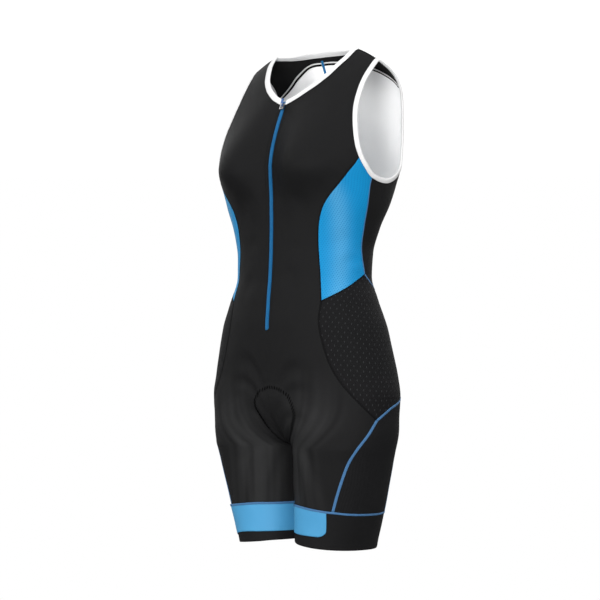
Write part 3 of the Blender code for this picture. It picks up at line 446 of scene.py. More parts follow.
def buildSpots():  # staggered small spots or dashes
    group, ins, outs = newGroup("staggeredSpots", [
        ("INPUT", "Vector", "Grain", None), ("INPUT", "Float", "Across", 5.0), ("INPUT", "Float", "Up", 3.0),
        ("INPUT", "Float", "Spot Width", 1.0), ("INPUT", "Float", "Spot Height", 1.0),
        ("OUTPUT", "Float", "Mask", None)])
    across, up = splitAxes(group, ins.outputs["Grain"])[:2]
    row = maths(group, "DIVIDE", up, ins.outputs["Up"])
    odd = maths(group, "MULTIPLY", maths(group, "MODULO", maths(group, "FLOOR", row), 2.0), 0.5)
    column = maths(group, "ADD", maths(group, "DIVIDE", across, ins.outputs["Across"]), odd)
    squares = []
    for place, pitch, size in ((column, "Across", "Spot Width"), (row, "Up", "Spot Height")):
        off = maths(group, "SUBTRACT", maths(group, "FRACT", place), 0.5)
        off = maths(group, "DIVIDE", maths(group, "MULTIPLY", off, ins.outputs[pitch]), ins.outputs[size])
        squares.append(maths(group, "MULTIPLY", off, off))
    far = maths(group, "SQRT", maths(group, "ADD", *squares))
    group.links.new(mapRange(group, far, (0.35, 0.62), (1.0, 0.0)), outs.inputs["Mask"])
    return group


def buildTone():  # faint cloudy change of colour and roughness
    group, ins, outs = newGroup("clothTone", [
        ("INPUT", "Color", "Color", (0.5, 0.5, 0.5, 1)), ("INPUT", "Float", "Change", 0.1),
        ("INPUT", "Float", "Roughness", 0.6),
        ("OUTPUT", "Color", "Color", None), ("OUTPUT", "Float", "Roughness", None)])
    place = newNode(group, "TexCoord", {})
    noise = newNode(group, "TexNoise", {"Scale": 14.0, "Detail": 3.0, "Vector": place.outputs["Object"]})
    swing = maths(group, "SUBTRACT", noise.outputs["Fac"], 0.5)
    swing = maths(group, "MULTIPLY", swing, ins.outputs["Change"])
    bright = newNode(group, "VectorMath", {0: ins.outputs["Color"], "Scale": maths(group, "ADD", swing, 1.0)},
                     operation="SCALE")
    rough = maths(group, "ADD", ins.outputs["Roughness"], maths(group, "MULTIPLY", swing, 0.35))
    group.links.new(bright.outputs[0], outs.inputs["Color"])
    group.links.new(rough, outs.inputs["Roughness"])
    return group


def buildThreads():  # crossed sewing threads of a flat seam
    group, ins, outs = newGroup("seamThreads", [
        ("INPUT", "Vector", "Grain", None), ("INPUT", "Float", "Pitch", 1.6),
        ("OUTPUT", "Float", "Height", None)])
    along, away = splitAxes(group, ins.outputs["Grain"])[:2]
    u = maths(group, "DIVIDE", along, ins.outputs["Pitch"])
    v = maths(group, "MULTIPLY", maths(group, "ABSOLUTE", away), 0.9)
    first, second = (sineOf(group, maths(group, way, u, v)) for way in ("ADD", "SUBTRACT"))
    height = maths(group, "MULTIPLY_ADD", maths(group, "MAXIMUM", first, second), 0.5, 0.5)
    group.links.new(height, outs.inputs["Height"])
    return group


knitGroup, spotGroup, toneGroup, threadGroup = buildKnit(), buildSpots(), buildTone(), buildThreads()


def newMaterial(name):
    material = bpy.data.materials.new(name)
    material.use_nodes = True
    return material, material.node_tree, material.node_tree.nodes["Principled BSDF"]


def coverShader(tree, shader, look, tone, colour, height, strength, distance):
    bump = newNode(tree, "Bump", {"Strength": strength, "Distance": distance, "Height": height})
    for label, value in (("Base Color", colour), ("Roughness", tone.outputs["Roughness"]),
                         ("Normal", bump.outputs[0]), ("Metallic", look.get("metal", 0.0)),
                         ("Specular IOR Level", look.get("gloss", 0.25))):
        feed(tree, shader.inputs[label], value)


def paintedSheenMask(tree, grain, look):  # painted sheen: a lighter band down the middle of the piece
    across, up = splitAxes(tree, grain)[:2]
    middle, half, most = look["paintedSheen"]
    away = maths(tree, "DIVIDE", maths(tree, "SUBTRACT", across, middle), half)
    square = maths(tree, "MULTIPLY", away, away)
    mask = maths(tree, "MULTIPLY", maths(tree, "EXPONENT", maths(tree, "MULTIPLY", square, -1.0)), most)
    if "paintedSheenBelow" in look:  # painted sheen on the thighs alone, in long streaks
        drawn = newNode(tree, "Mapping", {"Scale": (0.055, 0.004, 1.0), "Vector": grain})
        sheenStreak = newNode(tree, "TexNoise", {"Scale": 1.0, "Detail": 1.0, "Vector": drawn.outputs[0]})
        mask = maths(tree, "MULTIPLY", mask, mapRange(tree, up, look["paintedSheenBelow"], (1.0, 0.0)))
        mask = maths(tree, "MULTIPLY", mask, maths(tree, "MULTIPLY_ADD", sheenStreak.outputs["Fac"], 4.0, -1.1))
    return mask


def spotMask(tree, grain, look):
    across, up, wide, tall = look["spots"]
    spots = placeGroup(tree, spotGroup, Grain=grain, Across=across, Up=up, Spot_Width=wide, Spot_Height=tall)
    mask = spots.outputs["Mask"]
    if "spotFade" in look:  # the dashes die away towards the back
        fade = mapRange(tree, splitAxes(tree, grain)[0], look["spotFade"], (1.0, 0.12))
        mask = maths(tree, "MULTIPLY", mask, fade)
    return mask


def clothMaterial(name, look):
    material, tree, shader = newMaterial(name)
    uv = newNode(tree, "UVMap", {}, uv_map="grain")
    grain = newNode(tree, "VectorMath", {0: uv.outputs[0], "Scale": 1000.0}, operation="SCALE").outputs[0]
    tone = placeGroup(tree, toneGroup, Color=(*look["colour"], 1), Change=0.12, Roughness=look["rough"])
    colour = tone.outputs["Color"]
    if "threads" in look:
        height = placeGroup(tree, threadGroup, Grain=grain, Pitch=look["threads"]).outputs["Height"]
        # painted shade: the hollows between the threads are coloured darker
        colour = mixColour(tree, height, (*look["between"], 1), colour)
    else:
        height = placeGroup(tree, knitGroup, Grain=grain, Wale=look.get("wale", 0.55),
                            Course=look.get("course", 0.45)).outputs["Height"]
    if "ribs" in look:
        rib = sineOf(tree, splitAxes(tree, grain)[0], 2 * math.pi / look["ribs"])
        height = maths(tree, "ADD", height, maths(tree, "MULTIPLY", rib, 1.6))
        # painted highlight: the rib crests are coloured lighter
        lit = maths(tree, "MULTIPLY_ADD", rib, 0.5, 0.5)
        colour = mixColour(tree, lit, colour, (*look["ribCrestHighlight"], 1))
    # painted sheen: the colour is lightened in a band, standing in for highlights
    if "paintedSheen" in look:
        colour = mixColour(tree, paintedSheenMask(tree, grain, look), colour, (*look["paintedSheenColour"], 1))
    if "spots" in look:
        mask = spotMask(tree, grain, look)
        colour = mixColour(tree, mask, colour, (*look["spotColour"], 1))
        height = maths(tree, "ADD", height, maths(tree, "MULTIPLY", mask, look.get("spotRelief", -1.5)))
    coverShader(tree, shader, look, tone, colour, height, look.get("bump", 0.35), 0.0003)
    shader.inputs["Sheen Weight"].default_value = look.get("sheen", 0.0)
    shader.inputs["Sheen Roughness"].default_value = 0.45
    material.diffuse_color = (*look["colour"], 1)
    return material


# Cloths and threads with the colour slot of each; patterns are in millimetres on the cloth
cloths = {
    # blackStretch: its lighter thigh colour is painted sheen in streaks
    "blackStretch": {"slot": "black_stretch", "colour": (0.0076, 0.0076, 0.0079), "rough": 0.5, "gloss": 0.03,
                     "paintedSheen": (92, 50, 0.9), "paintedSheenBelow": (200, 340), "paintedSheenColour": (0.0165, 0.0166, 0.0170)},
    # blackRib: its lighter crest colour is a painted highlight on the ribs
    "blackRib": {"slot": "black_rib", "colour": (0.0062, 0.0062, 0.0066), "rough": 0.55, "gloss": 0.03,
                 "ribs": 2.6, "ribCrestHighlight": (0.0100, 0.0100, 0.0107), "bump": 0.5},
    "blackBand": {"slot": "black_band", "colour": (0.0080, 0.0080, 0.0084), "rough": 0.52, "gloss": 0.03},
    "blackMesh": {"slot": "black_mesh", "colour": (0.0062, 0.0062, 0.0066), "rough": 0.55, "gloss": 0.03,
                  "spots": (10.7, 7.8, 1.5, 3.6), "spotColour": (0.020, 0.021, 0.022), "spotFade": (240, 330),
                  "spotRelief": -2.0, "bump": 0.5},
    # blueMesh: its lighter middle colour is a painted sheen stripe
    "blueMesh": {"slot": "blue_mesh", "colour": (0.0030, 0.170, 0.375), "rough": 0.42, "gloss": 0.07,
                 "spots": (4.4, 3.2, 2.0, 1.4), "spotColour": (0.0020, 0.122, 0.28), "bump": 0.45,
                 "paintedSheen": (128, 17, 0.7), "paintedSheenColour": (0.060, 0.245, 0.43)},
    "paleInside": {"colour": (0.93, 0.93, 0.93), "rough": 0.65, "gloss": 0.2},
    "paleBlueInside": {"colour": (0.45, 0.62, 0.80), "rough": 0.65, "gloss": 0.2},
    "whiteBinding": {"slot": "white_binding", "colour": (0.54, 0.54, 0.54), "rough": 0.55, "gloss": 0.2,
                     "wale": 0.8, "course": 0.6},
    # whiteThread and blackThread: the colour between the threads is painted shade
    "whiteThread": {"slot": "white_binding", "colour": (0.57, 0.57, 0.575), "rough": 0.5, "threads": 1.2,
                    "between": (0.45, 0.45, 0.46)},
    "blackThread": {"slot": "black_stretch", "colour": (0.0035, 0.0035, 0.0038), "rough": 0.7, "gloss": 0.05,
                    "threads": 1.4, "between": (0.001, 0.001, 0.001)},
    "padThread": {"slot": "black_stretch", "colour": (0.0012, 0.0012, 0.0013), "rough": 0.8, "gloss": 0.0},
    # blueFlatlock: the colour between the threads is painted shade
    "blueFlatlock": {"slot": "blue_tape", "colour": (0.052, 0.140, 0.27), "rough": 0.55, "gloss": 0.15,
                     "threads": 1.7, "between": (0.014, 0.06, 0.16), "bump": 0.8},
    "bluePatch": {"slot": "blue_patch", "colour": (0.045, 0.215, 0.39), "rough": 0.5, "gloss": 0.2},
    "zipTape": {"slot": "blue_tape", "colour": (0.007, 0.11, 0.27), "rough": 0.6, "gloss": 0.15, "wale": 0.9,
                "course": 0.7},
    "zipTeeth": {"slot": "blue_tape", "colour": (0.008, 0.13, 0.31), "rough": 0.4, "gloss": 0.3},
    "padFleece": {"slot": "seat_pad_cloth", "colour": (0.022, 0.022, 0.024), "rough": 0.85, "gloss": 0.05,
                  "sheen": 0.1, "wale": 1.1, "course": 1.1},
}
made = {name: clothMaterial(name, look) for name, look in cloths.items()}
print("materials made")


def meshObject(name, points, faces, clothNames, uv, faceSlots=None):  # its cloths become its materials, in order
    mesh = bpy.data.meshes.new(name)
    mesh.from_pydata([tuple(p) for p in points], [], faces)
    for cloth in clothNames:
        mesh.materials.append(made[cloth])
    layer = mesh.uv_layers.new(name="grain")
    index = np.zeros(len(mesh.loops), np.int64)
    mesh.loops.foreach_get("vertex_index", index)
    layer.data.foreach_set("uv", (uv[index] / 1000).astype(np.float32).ravel())
    if faceSlots is not None:
        mesh.polygons.foreach_set("material_index", faceSlots)
    mesh.polygons.foreach_set("use_smooth", [True] * len(mesh.polygons))
    mesh.update()
    ob = bpy.data.objects.new(name, mesh)
    scene.collection.objects.link(ob)
    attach(ob, "suit")
    return ob


def flipped(faces, side):
    return faces if side > 0 else [list(reversed(f)) for f in faces]


def gridFaces(numbers):
    corners = (numbers[:-1, :-1], numbers[1:, :-1], numbers[1:, 1:], numbers[:-1, 1:])
    return np.stack(corners, -1).reshape(-1, 4).tolist()


def edgesOf(faces):  # every directed edge, and those that only one face has
    used = {(a, b): True for face in faces for a, b in zip(face, face[1:] + face[:1])}
    return used, [(a, b) for a, b in used if (b, a) not in used]


def shellFaces(faces, rim, count):  # both skins of a cloth and the walls round its rim
    return (faces + [[k + count for k in reversed(f)] for f in faces]
            + [[b, a, a + count, b + count] for a, b in rim])


def weldGrids(blocks):  # the grids of one piece on one set of points
    keys, faces, index = [], [], {}
    for grid in map(withRims, blocks):
        numbers = np.zeros(grid.shape[:2], int)
        for i, j in np.ndindex(numbers.shape):
            key = (round(float(grid[i, j, 0]), 5), round(float(grid[i, j, 1]), 2))
            if key not in index:
                index[key] = len(keys)
                keys.append(grid[i, j])
            numbers[i, j] = index[key]
        corners = [[k for n, k in enumerate(quad) if k not in quad[:n]] for quad in gridFaces(numbers)]
        faces += [face for face in corners if len(face) > 2]
    return np.array(keys), faces


def dipToSeams(points, normals, sewn):  # the cloth sinks a little towards every sewn edge
    tree = kdtree.KDTree(len(sewn) * 3)
    for n, (a, b) in enumerate(sewn):
        for m in range(3):
            tree.insert(points[a] + (points[b] - points[a]) * m / 3, n * 3 + m)
    tree.balance()
    far = np.array([tree.find(p)[2] for p in points])
    return points - normals * (form["edgeDip"] * np.exp(-(far / form["edgeWidth"]) ** 2))[:, None]


def clothPiece(name, blocks, side, clothNames, zipped=False):
    keys, faces = weldGrids(blocks)
    turn, level = keys.T
    points, normals = clothPlace(turn, level, side)
    used, rim = edgesOf(faces)
    plain = (turn < 1e-6) & (level >= form["crotch"]) & (level < zipBottom)  # no seam down the centre
    points = dipToSeams(points, normals, [(a, b) for a, b in rim if not (plain[a] and plain[b])])
    centre = ((turn < 1e-6) | (turn > 1 - 1e-6)) & (level >= form["crotch"])
    if zipped:
        width = zipSlot * smoothStep(zipBottom - 2, zipBottom + 2, level)
        points[:, 0] += np.where(turn < 0.5, width * np.clip(1 - points[:, 0] / 60, 0, 1), 0)
    nearby = {}
    for a, b in used:
        nearby.setdefault(a, []).append(b)
    onRim = {a for a, b in rim}
    for k in sorted(onRim):  # the edge draws back a hair from the seam
        within = [b for b in nearby[k] if b not in onRim]
        if within and not plain[k]:
            way = points[within[0]] - points[k]
            points[k] += way / max(np.linalg.norm(way), 1e-6) * form["edgeBack"]
    points[:, 0] = np.where(centre & ((turn > 0.5) | plain | (not zipped)), 0.0, points[:, 0])
    normals = np.where(centre[:, None] & (level > form["crotch"])[:, None],
                       unit(normals * np.array([0.0, 1.0, 1.0])), normals)
    inner = points - normals * form["wall"]
    inner[:, 0] = np.where(points[:, 0] < 1e-6, 0.0, np.maximum(inner[:, 0], 0.02))
    every = np.vstack([toMetres(points, side), toMetres(inner, side)])
    walls = shellFaces(faces, rim, len(points))
    uv = clothPlane(turn, level)
    slots = [0] * len(faces) + [1] * len(faces) + [0] * len(rim)
    return meshObject(name, every, flipped(walls, side), clothNames, np.vstack([uv, uv]), slots)


# Cut pieces of the suit, with the flat size each is cut to in metres
pieces = {
    "front_panel": {"blocks": [patchGrid(joined(neckFront, zipLine, frontRise, inseam),
                                         joined(armholeFront, sideFront, hipFront, flatlock),
                                         shoulderFront, bandTopFront)],
                    "cloths": ("blackStretch", "paleInside"), "flat": (0.240, 0.904), "area": 0.108},
    "side_panel": {"blocks": [patchGrid(sideFront, sideBack, armholeLow, waistSide)],
                   "cloths": ("blueMesh", "paleBlueInside"), "flat": (0.097, 0.278), "area": 0.0156},
    "back_panel": {"blocks": [patchGrid(sideBack, backDart, armholeUnder, waistBackSide),
                              patchGrid(joined(armholeBack, backDart), centreBack, yokeArch, waistBack, 4)],
                   "cloths": ("blackStretch", "paleInside"), "flat": (0.273, 0.460), "area": 0.0745},
    "back_yoke": {"blocks": [patchGrid(armholeYoke, centreYoke, joined(shoulderBack, neckBack), yokeArch, 1)],
                  "cloths": ("blackStretch", "blackBand"), "flat": (0.169, 0.078), "area": 0.0068},
    "hip_panel": {"blocks": [patchGrid(hipFront, hipBack, joined(waistSide, waistBackSide), flatlockTop)],
                  "cloths": ("blackMesh", "blackBand"), "flat": (0.185, 0.233), "area": 0.0353},
    "leg_side": {"blocks": [patchGrid(flatlock, wedgeBack, flatlockTop, bandTopSide)],
                 "cloths": ("blackRib", "blackBand"), "flat": (0.130, 0.204), "area": 0.0231},
    "seat_panel": {"blocks": [patchGrid(joined(hipBack, wedgeBack), joined(seatRise, backInseam),
                                        waistBack, bandTopBack)],
                   "cloths": ("blackStretch", "paleInside"), "flat": (0.204, 0.376), "area": 0.0555},
    "hem_band": {"blocks": [bandGrid], "cloths": ("blackBand", "blackBand"), "flat": (0.479, 0.084),
                 "area": 0.0294},
}
sides = (("L", 1), ("R", -1))
for name, piece in pieces.items():
    for letter, side in sides:
        node = name + "_" + letter
        ob = clothPiece("cloth_" + node, piece["blocks"], side, piece["cloths"], name == "front_panel")
        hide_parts(node)
print("panels sewn")


def smoothPath(keys, side, closed=False, lift=0.0):
    points, normals = clothPlace(*keys.T, side, lift)
    if closed:
        ahead = np.roll(points, -1, 0) - np.roll(points, 1, 0)
    else:
        ahead = np.gradient(points, axis=0)
    return points, normals, unit(ahead)


def stepInto(keys, way, distance, steps=5):  # walks over the cloth from an edge
    turn, level = keys.T.copy()
    move = way * distance / steps
    for n in range(steps):
        right, left = np.minimum(turn + 0.001, 1), np.maximum(turn - 0.001, 0)
        high, low = np.minimum(level + 0.5, form["top"]), level - 0.5
        a = (suitSurface(right, level) - suitSurface(left, level)) / (right - left)[:, None]
        b = (suitSurface(turn, high) - suitSurface(turn, low)) / (high - low)[:, None]
        aa, ab, bb = (a * a).sum(1), (a * b).sum(1), (b * b).sum(1)
        am, bm = (a * move).sum(1), (b * move).sum(1)
        det = np.maximum(aa * bb - ab * ab, 1e-6)
        turn = np.clip(turn + (am * bb - bm * ab) / det, 0, 1)
        level = np.minimum(level + (bm * aa - am * ab) / det, form["top"])
    return np.stack([turn, level], -1)


def sweep(name, rings, closed, side, cloth, uv):  # a closed outline carried along a line
    count, size = rings.shape[:2]
    faces = []
    for i in range(count if closed else count - 1):
        a, b = i * size, ((i + 1) % count) * size
        faces += [[a + k, a + (k + 1) % size, b + (k + 1) % size, b + k] for k in range(size)]
    if not closed:
        faces += [list(range(size)), [(count - 1) * size + k for k in reversed(range(size))]]
    ob = meshObject(name, toMetres(rings.reshape(-1, 3), side), flipped(faces, side), [cloth],
                    uv.reshape(-1, 2))
    bm = bmesh.new()
    bm.from_mesh(ob.data)
    bmesh.ops.recalc_face_normals(bm, faces=bm.faces)
    bm.to_mesh(ob.data)
    bm.free()
    return ob


# Stitches: spacing along the seam, then length, width and height of each, and its thread
stitches = {"binding": (3.4, 2.4, 0.55, 0.3, "whiteThread"), "zip": (3.0, 2.1, 0.45, 0.3, "blackThread"),
            "pad": (5.2, 2.4, 1.6, 0.9, "padThread")}


def stitchObject(name, starts, ends, normals, width, height, cloth, side):
    along = ends - starts
    length = np.linalg.norm(along, axis=1, keepdims=True)
    along = along / np.maximum(length, 1e-6)
    across = unit(np.cross(normals, along))
    ring = [(math.cos(a), math.sin(a)) for a in np.linspace(0, 2 * math.pi, 7)[:-1]]
    stations = [(0.0, 0.35, -0.5), (0.18, 0.9, 0.2), (0.5, 1.0, 0.5), (0.82, 0.9, 0.2), (1.0, 0.35, -0.5)]
    rows = []
    for t, fat, rise in stations:
        middle = starts + along * length * t + normals * height * rise
        rows.append(np.stack([middle + across * width / 2 * fat * c + normals * height / 2 * fat * s
                              for c, s in ring], 1))
    points = np.stack(rows, 1).reshape(-1, 3)
    size, levels, faces = len(ring), len(stations), []
    for first in range(0, len(points), size * levels):
        for o in range(first, first + (levels - 1) * size, size):
            for a, b in zip(range(o, o + size), [*range(o + 1, o + size), o]):
                faces.append([a, b, b + size, a + size])
        faces.append([first + k for k in reversed(range(size))])
        faces.append([first + (levels - 1) * size + k for k in range(size)])
    uv = np.stack([np.tile(np.repeat([t * 2.4 for t, f, r in stations], size), len(starts)),
                   np.tile(np.tile(np.arange(size) * 0.2, levels), len(starts))], -1)
    return meshObject(name, toMetres(points, side), flipped(faces, -side), [cloth], uv)


def alongAt(line, where):  # points read off at given lengths along a line
    values, far = line
    return np.stack([np.interp(where, far, values[:, c]) for c in range(3)], -1)


def stitchesAlong(line, normals, pitch, length):
    far = lengthsAlong(line)
    count = max(int(far[-1] / pitch), 1)
    begin = (np.arange(count) + 0.5) * far[-1] / count
    return (alongAt((line, far), begin - length / 2), alongAt((line, far), begin + length / 2),
            unit(alongAt((normals, far), begin)))


def stitchRow(name, line, normals, kind, side):
    pitch, length, width, height, cloth = stitches[kind]
    return stitchObject(name, *stitchesAlong(line, normals, pitch, length), width, height, cloth, side)


# Bindings: a strip folded over each raw edge, sewn down along its inner edge
binding = {"reach": 8.6, "wall": 0.95, "gap": 0.25, "stitchAt": 6.9, "armholeShare": 0.78, "fromZip": 3.7,
           "armhole": (0.0174, 0.57), "neck": (0.021, 0.54)}


def bindingProfile():  # (distance in from the edge, height over the cloth)
    reach, wall, gap, cloth = binding["reach"], binding["wall"], binding["gap"], form["wall"]
    top = wall + gap
    outside = [(reach, gap), (reach + 0.25, gap + 0.35), (reach - 0.1, top - 0.15), (reach - 0.7, top + 0.12),
               (7.35, top + 0.10), (6.9, top - 0.12), (6.45, top + 0.12), (4.6, top + 0.25),
               (2.4, top + 0.28), (0.7, top + 0.15), (-0.45, top - 0.25), (-1.15, top - 0.95)]
    inside = [(s, -cloth - h) for s, h in reversed(outside)]
    lining = [(reach, -cloth - gap), (4.0, -cloth - gap), (-0.1, -cloth - gap), (-0.3, -cloth / 2),
              (-0.1, gap), (4.0, gap)]
    return outside + [(-1.45, -cloth / 2)] + inside[:-1] + lining


def bindingSweep(keys, closed, side, share=1.0):  # share narrows the strip
    points, normals, ahead = smoothPath(keys, side, closed)
    inward = unit(np.cross(normals, ahead))
    if closed:
        if ((points - points.mean(0)) * inward).sum() < 0:
            inward = -inward
    elif inward[len(inward) // 3, 0] < 0:
        inward = -inward
    profile = [(s * share if s > 0 else s, h) for s, h in bindingProfile()]
    stations = np.linspace(0, max(s for s, h in profile), 7)
    steps = [(points, normals)]
    steps += [clothPlace(*stepInto(keys, inward, s).T, side) for s in stations[1:]]

    def inFrom(s):  # the cloth at a distance in from the edge
        if s <= 0:
            return points + inward * s, normals
        i = min(int(s / stations[1]), len(stations) - 2)
        t = s / stations[1] - i
        here, after = steps[i], steps[i + 1]
        return here[0] * (1 - t) + after[0] * t, unit(here[1] * (1 - t) + after[1] * t)

    along = lengthsAlong(points)
    rings, uv = [], []
    for s, h in profile:
        place, out = inFrom(s)
        rings.append(place + out * h)
        uv.append(np.stack([along, np.full(len(along), s)], -1))
    seat, out = inFrom(binding["stitchAt"] * share)
    seat = seat + out * (binding["wall"] + binding["gap"] + 0.05)
    return np.stack(rings, 1), np.stack(uv, 1), seat, out


armholeKeys = joined(armholeFront, armholeLow, armholeUnder, armholeBack[::-1], armholeYoke[::-1])[:-1]
for letter, side in sides:
    rings, uv, seat, out = bindingSweep(armholeKeys, True, side, binding["armholeShare"])
    ob = sweep("binding_armhole_" + letter, rings, True, side, "whiteBinding", uv)
    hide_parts("armhole_binding_" + letter)
    thread = stitchRow("stitch_armhole_" + letter, np.vstack([seat, seat[:1]]), np.vstack([out, out[:1]]),
                       "binding", side)
rings, uv, seat, out = bindingSweep(joined(neckFront[::-1], neckBack), False, 1)
rings[:6, :, 0] = np.maximum(rings[:6, :, 0], binding["fromZip"] + 0.4 * np.arange(6)[:, None])
rings[-1, :, 0] = 0
mirror = np.array([-1, 1, 1])
ob = sweep("binding_neck", np.concatenate([rings, rings[-2::-1] * mirror]), False, 1, "whiteBinding",
           np.concatenate([uv, uv[-2::-1]]))
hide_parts("neck_binding")
line, lineOut = (np.concatenate([half[2:], half[-2:1:-1] * mirror]) for half in (seat, out))
thread = stitchRow("stitch_neck", line, lineOut, "binding", 1)
print("bindings folded")


# Seams: flat sewn ribbons over the joins
def seamRibbon(name, keys, width, rise, cloth, side, lift=0.0):
    points, normals, ahead = smoothPath(keys, side, False, lift)
    across = unit(np.cross(normals, ahead))
    half = width / 2
    profile = [(-half, -0.25), (-half * 0.86, rise * 0.75), (-half * 0.4, rise), (0, rise * 0.82),
               (half * 0.4, rise), (half * 0.86, rise * 0.75), (half, -0.25), (0, -0.45)]
    rings = np.stack([points + across * s + normals * h for s, h in profile], 1)
    rings[..., 0] = np.maximum(rings[..., 0], 0.05)
    along = lengthsAlong(points)
    uv = np.stack([np.stack([along, np.full(len(along), s)], -1) for s, h in profile], 1)
    sweep(name, rings, False, side, cloth, uv)


seams = {  # line, width and rise in millimetres, thread
    "side_front": (sideFront, 2.2, 0.25, "blackThread"),
    "side_back": (sideBack, 1.8, 0.25, "blueFlatlock"),
    "waist_side": (waistSide, 2.2, 0.25, "blackThread"),
    "waist_back": (joined(waistBackSide, waistBack), 2.6, 0.35, "blueFlatlock"),
    "hip_front": (hipFront, 3.4, 0.3, "blackThread"),
    "hip_back": (hipBack, 2.4, 0.3, "blackThread"),
    "wedge_top": (flatlockTop, 4.4, 0.45, "blueFlatlock"),
    "wedge_front": (flatlock, 5.0, 0.45, "blueFlatlock"),
    "wedge_back": (wedgeBack, 4.4, 0.45, "blueFlatlock"),
    "yoke": (yokeArch, 2.2, 0.25, "blackThread"),
    "shoulder": (shoulderFront, 2.2, 0.25, "blackThread"),
    "inseam": (inseam[2:], 2.2, 0.25, "blackThread"),
}
for name, seam in seams.items():
    for letter, side in sides:
        seamRibbon("seam_" + name + "_" + letter, *seam, side)
# Blue pieces on the hem bands: where each ends round the leg, its lower edge there and in front
patches = {"L": {"end": 0.310, "endLow": 24.0, "frontLow": 24.0, "lean": 1.9, "flat": (0.145, 0.049),
                 "area": 0.0068},
           "R": {"end": 0.440, "endLow": 12.0, "frontLow": 23.0, "lean": 0.0, "flat": (0.215, 0.060),
                 "area": 0.0112}}
for letter, side in sides:  # round each leg above the hem band, over the blue piece
    past = smoothStep(patches[letter]["end"], patches[letter]["end"] + 0.05, bandTop[:, 0])
    seamRibbon("seam_band_" + letter, bandTop, 3.8, 0.45, "blueFlatlock", side, 1.9 - 1.5 * past)
print("seams laid")

# Zip: a woven tape behind the front edges and two rows of coil teeth in the slot
zipper = {"tape": 9.0, "tapeTop": 3.4, "tapeWall": 0.8, "pitch": 1.45, "tooth": 3.05, "toothWidth": 0.95,
          "toothHeight": 1.3, "span": (713, 364.5), "wideBelow": 700, "stitchRows": (5.4, 9.6),
          "stitchSpan": (708, 367)}
zipKeys = np.stack([np.zeros(141), np.linspace(*zipper["span"], 141)], -1)
zipPoints, zipNormals = clothPlace(*zipKeys.T, 1)
zipPoints[:, 0], zipNormals[:, 0] = 0, 0
zipNormals = unit(zipNormals)


def tapeSweep(name, line, normals, half, profile):  # a tape on the inside, down the suit's middle
    far = lengthsAlong(line)
    across = np.stack([half, 0 * half, 0 * half], -1)
    rings = np.stack([line + across * s + normals * (h - form["wall"] - 0.25) for s, h in profile], 1)
    uv = np.stack([np.stack([half * s, far], -1) for s, h in profile], 1)
    return sweep(name, rings, False, 1, "zipTape", uv)


half = np.where(zipKeys[:, 1] < zipper["wideBelow"], zipper["tape"], zipper["tapeTop"])
tapeUpper = [(-1, 0), (-0.55, 0.04), (-0.42, 0.35), (-0.06, 0.42), (0, 0.25), (0.06, 0.42), (0.42, 0.35),
             (0.55, 0.04), (1, 0)]  # the chain's bed stands up in the middle
tapeLower = [(s, -zipper["tapeWall"]) for s in (1, 0, -1)]
ob = tapeSweep("zip_tape", zipPoints, zipNormals, half, tapeUpper + tapeLower)
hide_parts("zip")
far = lengthsAlong(zipPoints)
count = int(far[-1] / zipper["pitch"])
seats = (np.arange(count) + 0.5) * far[-1] / count
starts, ends, outs = [], [], []
for row, way in enumerate((1, -1)):
    where = np.clip(seats + row * zipper["pitch"] / 2, 0, far[-1])
    place, out = alongAt((zipPoints, far), where), unit(alongAt((zipNormals, far), where))
    across = np.array([float(way), 0.0, 0.0])
    starts.append(place - across * 0.35 + out * 0.25)
    ends.append(place + across * zipper["tooth"] + out * 0.05)
    outs.append(out)
stitchObject("zip_teeth", np.vstack(starts), np.vstack(ends), np.vstack(outs), zipper["toothWidth"],
             zipper["toothHeight"], "zipTeeth", 1)
edgeKeys = np.stack([np.zeros(120), np.linspace(*zipper["stitchSpan"], 120)], -1)
for letter, side in sides:
    for n, away in enumerate(zipper["stitchRows"]):
        keys = stepInto(edgeKeys, np.tile([1.0, 0, 0], (120, 1)), away)
        stitchRow("stitch_zip%d_%s" % (n + 1, letter), *clothPlace(*keys.T, side), "zip", side)
print("zip closed")


def readGrid(grid, row, column):  # a key anywhere on a grid of keys
    row, column = np.broadcast_arrays(np.asarray(row, float), np.asarray(column, float))
    i = np.clip(row.astype(int), 0, grid.shape[0] - 2)
    j = np.clip(column.astype(int), 0, grid.shape[1] - 2)
    a, b = (row - i)[..., None], (column - j)[..., None]
    return ((grid[i, j] * (1 - b) + grid[i, j + 1] * b) * (1 - a)
            + (grid[i + 1, j] * (1 - b) + grid[i + 1, j + 1] * b) * a)


def layOn(name, keys, side, low, high, cloth):  # a flat piece between two heights over the suit
    rows, cols = keys.shape[:2]
    turn, level = keys.reshape(-1, 2).T
    points, normals = clothPlace(turn, level, side)
    edge = np.zeros((rows, cols))
    edge[0], edge[-1], edge[:, 0], edge[:, -1] = 1, 1, 1, 1
    over = points + normals * (high - 0.25 * np.sign(high - low) * edge.reshape(-1, 1))
    every = np.vstack([over, points + normals * low])
    every[:, 0] = np.maximum(every[:, 0], 0.15)
    faces = gridFaces(np.arange(rows * cols).reshape(rows, cols))
    walls = shellFaces(faces, sorted(edgesOf(faces)[1]), rows * cols)
    uv = clothPlane(turn, level)
    way = side if high > low else -side
    return meshObject(name, toMetres(every, side), flipped(walls, way), [cloth], np.vstack([uv, uv]))


